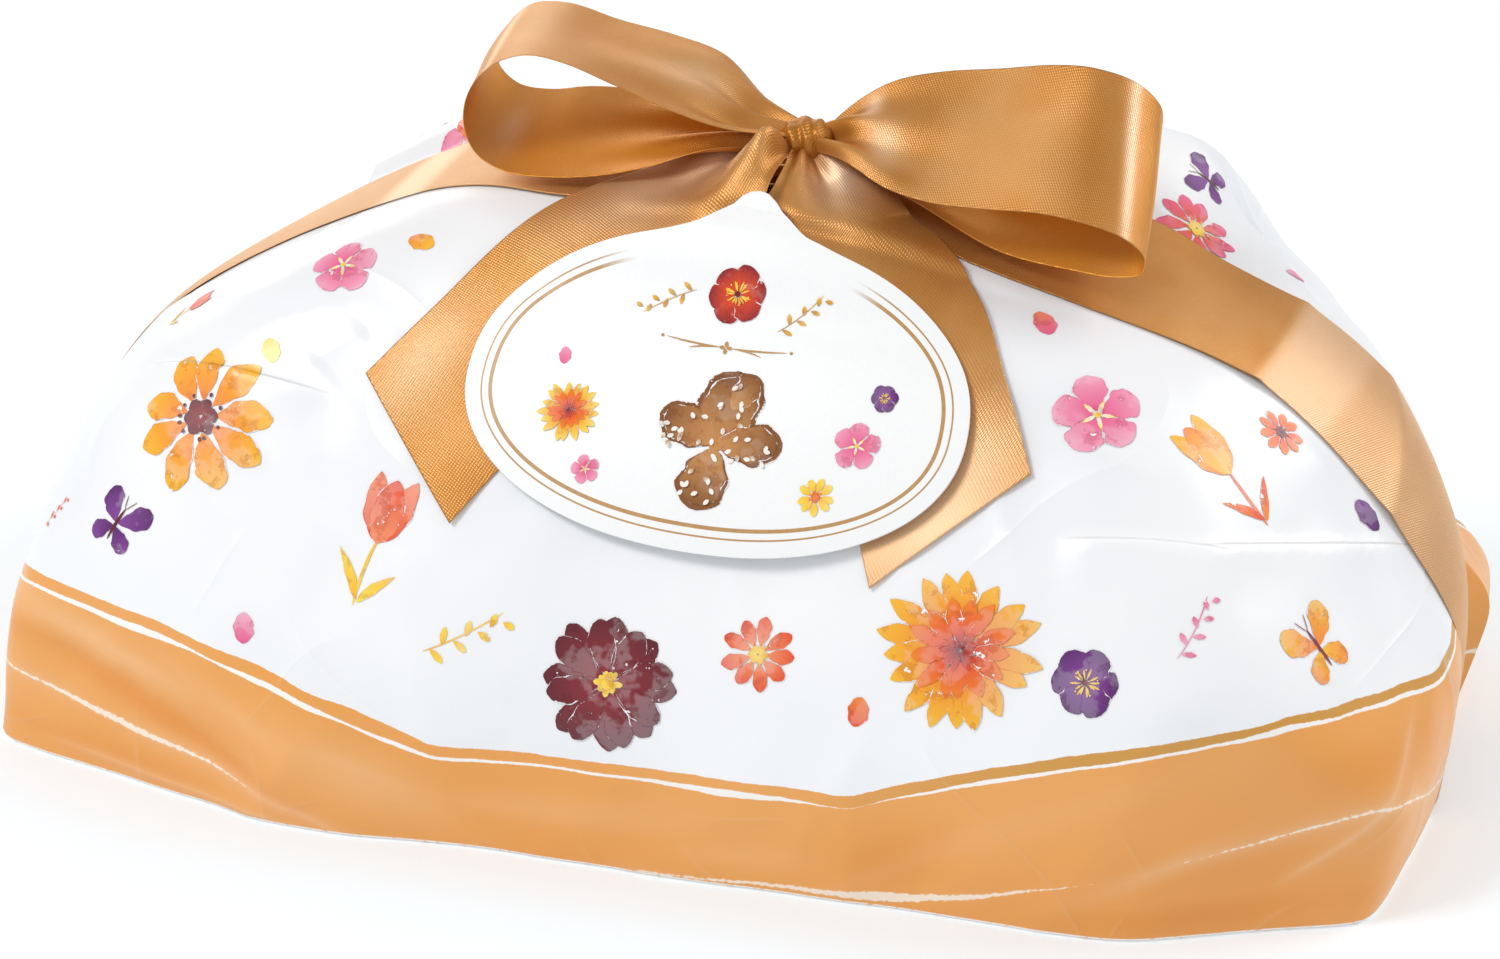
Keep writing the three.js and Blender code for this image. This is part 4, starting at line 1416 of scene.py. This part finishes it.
knotPlan = {
    "centre": (14, -4.5, 151.4),
    "radii": (6.6, 6.2, 5.0),
    "rows": 60,
    "columns": 96,
    # ridges in a full circle through both ends, half of which is seen, and their depth as a share of
    # the radius; how they slant and wander; the power that fills out its ends; the height of its lumps
    # in mm along X, Y and Z; and how much shade is painted on its satin, in the middle and at its poles
    "ridges": 10.4,
    "depth": 0.07,
    "slant": 0.35,
    "wander": 1.5,
    "fullness": 0.7,
    "lumps": (0.25, 0.12, 0.12),
    "shade": 0.55,
    "poleShade": 0.5,
}


def surfaceNormals(grid):
    # across the two directions of the grid
    along = np.gradient(grid, axis=0)
    across = np.gradient(grid, axis=1)
    return unit(np.cross(across, along))


def makeLoop(name, plan):
    # between the two edge curves; near the knot the width gathers into folds, which are sine waves
    t = np.linspace(0, 1, loopPlan["rows"])
    w = rimSteps(loopPlan["columns"])
    near = throughStations(plan["near"], t)
    far = throughStations(plan["far"], t)
    grid = near[:, None] * (1 - w[:, None]) + far[:, None] * w[:, None]
    ends = np.minimum(t, 1 - t)
    gather = np.exp(-((ends / loopPlan["gather"]) ** 2))
    phase = plan["turn"] + loopPlan["sway"] * np.sin(t * loopPlan["swayPace"])
    folds = np.sin(w * 2 * np.pi * plan["folds"] + phase[:, None])
    edgeEase = 0.6 + 0.4 * np.sin(w * np.pi)
    lift = plan["foldHeight"] * gather[:, None] * folds * edgeEase
    lift += loopPlan["ripple"] * waves(grid, loopPlan["rippleSize"], 31) * np.sin(t * np.pi)[:, None]
    grid = grid + surfaceNormals(grid) * lift[..., None]
    bowPiece(name, grid * mm + heart, plan, t, w)


def makeTail(name, plan):
    # a strap laid along the film; its places across are put back on the film at the given lift
    t = np.append(np.linspace(0, 1 - tailPlan["lastRow"], tailPlan["rows"] - 1), 1)[:, None]
    across = rimSteps(tailPlan["columns"])
    w = across - 0.5
    slant = plan["slant"]
    reach = t * (1 - abs(slant) * (0.5 - math.copysign(1, slant) * w))
    places = np.array(plan["places"], float)
    foot = stacked(places[:, 0] * mm, places[:, 1] * mm, 0)
    onTop = findFilm(foot, np.array([0.0, 0, 1]), tailPlan["beyond"])
    centre = throughStations(onTop, reach)
    ahead = throughStations(onTop, np.minimum(reach + 0.01, 1))
    behind = throughStations(onTop, np.maximum(reach - 0.01, 0))
    height, width = np.moveaxis(throughStations(places[:, 2:], reach), -1, 0)
    out = filmNormal(onFilm(centre, np.zeros(reach.shape)))
    side = unit(np.cross(out, unit(ahead - behind)))
    grid = centre + side * (w * width * mm)[..., None]
    gather = np.exp(-((t / tailPlan["gather"]) ** 2))
    phase = plan["turn"] + tailPlan["foldTurn"] * t
    folds = np.sin(across * 2 * np.pi * tailPlan["folds"] + phase)
    lift = height + gather * tailPlan["foldHeight"] * folds
    # the puffs are highest at one part of its length
    puffed = (t / plan["puffAt"]) ** 2 * np.exp(2 - 2 * t / plan["puffAt"])
    for place, wide, tall in plan["puffs"]:
        lift = lift + puffed * tall * np.exp(-(((w - place) / wide) ** 2))
    ripple = tailPlan["ripple"] * waves(grid, tailPlan["rippleSize"] * mm, 41)
    lift = lift + ripple * smoothStep(t, *tailPlan["rippleFrom"])
    grid = onFilm(grid, lift * mm)
    bowPiece(name, grid + heart, plan, t[:, 0], across)


def makeKnot():
    # an egg of ribbon whose radius waves along X, as a strap wound round the bundle does
    plan = knotPlan
    around = np.linspace(0, 2 * np.pi, plan["columns"], endpoint=False)
    along = np.linspace(-np.pi / 2, np.pi / 2, plan["rows"] + 2)[1:-1, None]
    slant = along + plan["slant"] * np.sin(around + 0.6)
    ball = stacked(along, np.cos(around), np.sin(around))
    wrinkles = slant * plan["ridges"] + plan["wander"] * waves(ball, 1.5, 52)
    ridge = 1 + plan["depth"] * np.sin(wrinkles)
    level = np.cos(along) ** plan["fullness"] * ridge
    grid = stacked(np.sin(along), np.cos(around) * level, np.sin(around) * level)
    points = grid.reshape(-1, 3) * np.array(plan["radii"])
    points += np.array(plan["lumps"]) * waves(points, 5, 51)[:, None] * unit(points)
    points = np.vstack([points, [[-plan["radii"][0], 0, 0], [plan["radii"][0], 0, 0]]])
    rows, columns = grid.shape[:2]
    corners, fans = gridCorners(rows, columns, True), poleFans(rows, columns)
    loops = np.concatenate([corners.ravel(), fans.ravel()])
    uv = points[loops][:, :2] * mm
    placed = (points + np.array(plan["centre"])) * mm + heart
    # painted shade, darker where the radius dips between the ridges
    grooveShade = np.clip(1.05 - ridge.ravel(), 0, 1) * 3 + plan["shade"]
    grooveShade = np.append(grooveShade, [plan["poleShade"]] * 2)
    piece = fillMesh("knot", placed, [corners[:, ::-1], fans[:, ::-1]], uv, {"shade": grooveShade}, satin)
    finishPiece(piece, "ribbon", "bow")


makeLoop("leftLoop", leftLoop)
makeLoop("rightLoop", rightLoop)
makeTail("leftTail", tails["left"])
makeTail("rightTail", tails["right"])
makeKnot()
print("bow made")


# the label

labelPlan = {
    "halfWidth": 61,
    "upperHeight": 42.4,
    "lowerHeight": 35.2,
    "fullness": 0.92,
    "neckRise": 13,
    "neckReach": 11.6,
    "tilt": -1.5,
    "centre": (9.5, -60, 103),
    "lift": 3.3,
    "neckLift": 6.5,
    "thickness": 0.6,
    "rim": 220,
    "rings": 44,
    # the border lines: distance in from the edge and half of the thickness, mm
    "lines": ((4.0, 0.16), (6.2, 0.42)),
}


def labelFrame():
    # where the card's middle lies on the film, and its own directions to the right and up
    plan = labelPlan
    middle = onFilm(np.array(plan["centre"], float) * mm, np.zeros(()))
    out = filmNormal(middle)
    level = unit(np.cross(np.array([0.0, 0, 1]), out))
    tilt = math.radians(plan["tilt"])
    across = level * math.cos(tilt) + np.cross(out, level) * math.sin(tilt)
    return middle, across, np.cross(out, across)


def onLabel(u, v, extra):
    # a place on the card, u to its right and v up it, in millimetres
    middle, across, up = labelFrame()
    point = middle + across * (u * mm)[..., None] + up * (v * mm)[..., None]
    height = labelPlan["upperHeight"]
    towardsKnot = smoothStep(v, height * 0.45, height * 1.15)
    return onFilm(point, (labelPlan["lift"] + labelPlan["neckLift"] * towardsKnot + extra) * mm)


def labelRim(angle):
    # a full oval, taller above than below, with a bell-shaped neck on top
    plan = labelPlan
    circle = np.array([np.cos(angle), np.sin(angle)])
    right, up = np.abs(circle) ** plan["fullness"] * np.sign(circle)
    u = plan["halfWidth"] * right
    v = np.where(up > 0, plan["upperHeight"], plan["lowerHeight"]) * up
    neck = np.where(up > 0, plan["neckRise"] * np.exp(-((u / plan["neckReach"]) ** 2)), 0)
    return u, v + neck


def fadeOfLines(u, v):
    # the border lines die away on both shoulders, below the neck
    angle = np.degrees(np.arctan2(v, u)) % 360
    return 1 - smoothStep(angle, 38, 52) * (1 - smoothStep(angle, 128, 142))


def cardMaterial():
    # white card with a gold line wherever the inset from the edge is near a line's own
    shader = Shader("card")
    spot = shader.objectSpot()
    inset = shader.attribute("inset")
    side = shader.attribute("topSide")
    grain = shader.noise(spot, 900.0, 2.0)
    fleck = shader.noise(spot, 260.0, 3.0)
    gold = shader.mix(grain, (0.40, 0.20, 0.055), (0.56, 0.31, 0.10))
    thin, thick = (
        1 - ((inset - at * mm).size() - half * mm).rising(0.0, 0.00012) for at, half in labelPlan["lines"]
    )
    lines = thin.most(thick) * side
    white = shader.mix(grain, (0.87, 0.87, 0.87), (0.91, 0.91, 0.905))
    colour = shader.mix(lines, white, gold)
    normal = shader.bump(fleck + grain * 0.5, 0.00005, 0.3)
    return shader.finish({"Base Color": colour, "Roughness": 0.33, "Normal": normal, "IOR": 1.5})


def makeLabel():
    # rings that grow from the middle of the back to the rim and shrink again to the middle of the front
    plan = labelPlan
    angle = np.linspace(0, 2 * np.pi, plan["rim"], endpoint=False)
    u, v = labelRim(angle)
    scales = 1 - np.linspace(0, 1, plan["rings"] + 1)[:-1] ** 1.5
    scales = np.concatenate([scales[::-1], scales])[:, None]
    rows, columns = len(scales), len(angle)
    onFront = np.arange(rows)[:, None] >= rows // 2
    half = plan["thickness"] / 2
    grid = onLabel(scales * u, scales * v, np.where(onFront, half, -half))
    poles = onLabel(np.zeros(2), np.zeros(2), np.array([-half, half]))
    points = np.vstack([grid.reshape(-1, 3), poles]) + heart
    faces = [gridCorners(rows, columns, True), poleFans(rows, columns)]

    # distance in from the edge: how far the rim is from the middle, square to itself, less the ring's share
    outward = unit(np.stack([np.roll(v, -1) - np.roll(v, 1), np.roll(u, 1) - np.roll(u, -1)], -1))
    reach = u * outward[:, 0] + v * outward[:, 1]
    inset = (1 - scales) * reach * mm
    topSide = np.where(onFront, fadeOfLines(scales * u, scales * v), 0)
    fields = {"inset": np.append(inset, [0.04, 0.04]), "topSide": np.append(topSide, [0, 1])}
    piece = fillMesh("label", points, faces, None, fields, cardMaterial())
    finishPiece(piece, "card", "label")


def labelCarrier(place, u, v, lift):
    # flat offsets in millimetres from a place on the card, laid on its front
    return onLabel(place[0] + u, place[1] + v, labelPlan["thickness"] / 2 + lift) + heart


# seeds scattered over the loaf, how far out, and the length and width of each
loafPlan = {"seeds": 84, "reach": 0.95, "seedLength": 0.11, "seedWidth": 0.07}


def loaf():
    # a dove-shaped loaf in flat strokes: dark paper edge, crust lobes, pale almonds and sugar
    plan = loafPlan
    lobes = (
        (0.0, -0.15, 90, 1.25, 0.92), (0.0, 0.0, 12, 1.0, 0.60), (0.0, 0.0, 168, 1.0, 0.60),
        (0.0, -0.1, 270, 0.95, 0.74), (0.05, 0.55, 70, 0.62, 0.46),
    )
    strokes = []
    for longer, wider, ink in ((1.05, 1.12, "brown"), (0.97, 0.96, "crust")):
        for u, v, heading, length, width in lobes:
            strokes.append(stroke(u, v, heading, length * longer, width * wider, 1.35, 0.45, 0, ink, "brown"))
    source = np.random.default_rng(4)
    for index in range(plan["seeds"]):
        turn, reach = source.uniform(0, 2 * math.pi), plan["reach"] * math.sqrt(source.uniform())
        u, v = reach * math.cos(turn), reach * math.sin(turn) * 0.95 - 0.02
        onLobe = abs(v) < 0.24 or abs(u) < 0.28
        if onLobe:
            heading, ink = source.uniform(0, 360), "sugar" if index % 3 else "gold"
            size = (plan["seedLength"], plan["seedWidth"])
            strokes.append(stroke(u, v, heading, *size, 1.0, 0.6, 0, ink, "sugar"))
    return strokes


def flourish():
    # a small ornament: a diamond of buds between two long curved strokes
    strokes = []
    for side in (1, -1):
        heading = 90 - 90 * side
        strokes.append(stroke(0.16 * side, 0, heading, 1.5, 0.05, 0.8, 0.5, 0.07 * side, "gold", "gold"))
        strokes.append(stroke(0.20 * side, 0, heading, 0.8, 0.045, 0.8, 0.5, -0.16 * side, "gold", "gold"))
        strokes.append(dot(1.76 * side, 0.11, 0.09, "gold", "gold"))
    strokes += ringOf(4, 0.02, 0.16, 0.10, 1.0, 0.6, "gold", "gold")
    return strokes


labelFlowers = [
    # place on the card, size in mm, roll, strokes
    ((3, -9), 15, -8, loaf()),
    ((0, 27), 7.5, 0, anemone(("red", "wine"), 31)),
    ((-17, 24), 7, 172, sprig(("gold", "amber"))),
    ((17, 24), 7, 8, sprig(("gold", "amber"))),
    ((0, 13.5), 9, 0, flourish()),
    ((-34, -7), 7.5, 0, gerbera(("orange", "yellow"), ("red", "wine"), 33)),
    ((-27, -20), 3.6, 20, blossom(("pink", "rose"), 34)),
    ((-38, 6), 2.4, 0, bud(("pink", "rose"))),
    ((36, -5), 6, 0, blossom(("pink", "rose"), 35)),
    ((29, -18), 4.6, 0, daisy(("amber", "yellow"), ("orange", "red"), 36)),
    ((40, 7), 3.4, 0, anemone(("violet", "purple"), 37)),
]

makeLabel()
labelInk = printMaterial("labelPrint", True)
printPiece("labelPrint", labelFlowers, labelCarrier, "card", labelInk)
print("label made")


# floor

def makeFloor():
    # a flat square just below the pack
    half = viewPlan["floorSize"] / 2
    corners = [(-half, -half), (half, -half), (half, half), (-half, half)]
    points = np.array([(x, y, -viewPlan["floorDrop"]) for x, y in corners])
    shader = Shader("paleFloor")
    grain = shader.noise(shader.objectSpot(), 8.0)
    colour = shader.mix(grain, (0.69, 0.76, 0.81), (0.71, 0.78, 0.83))
    glow = {"Emission Color": (1, 1, 1), "Emission Strength": 0.25}
    material = shader.finish({"Base Color": colour, "Roughness": 0.9, **glow})
    floor = fillMesh("floor", points, [np.array([[0, 1, 2, 3]])], None, {}, material)


makeFloor()
print("floor made")
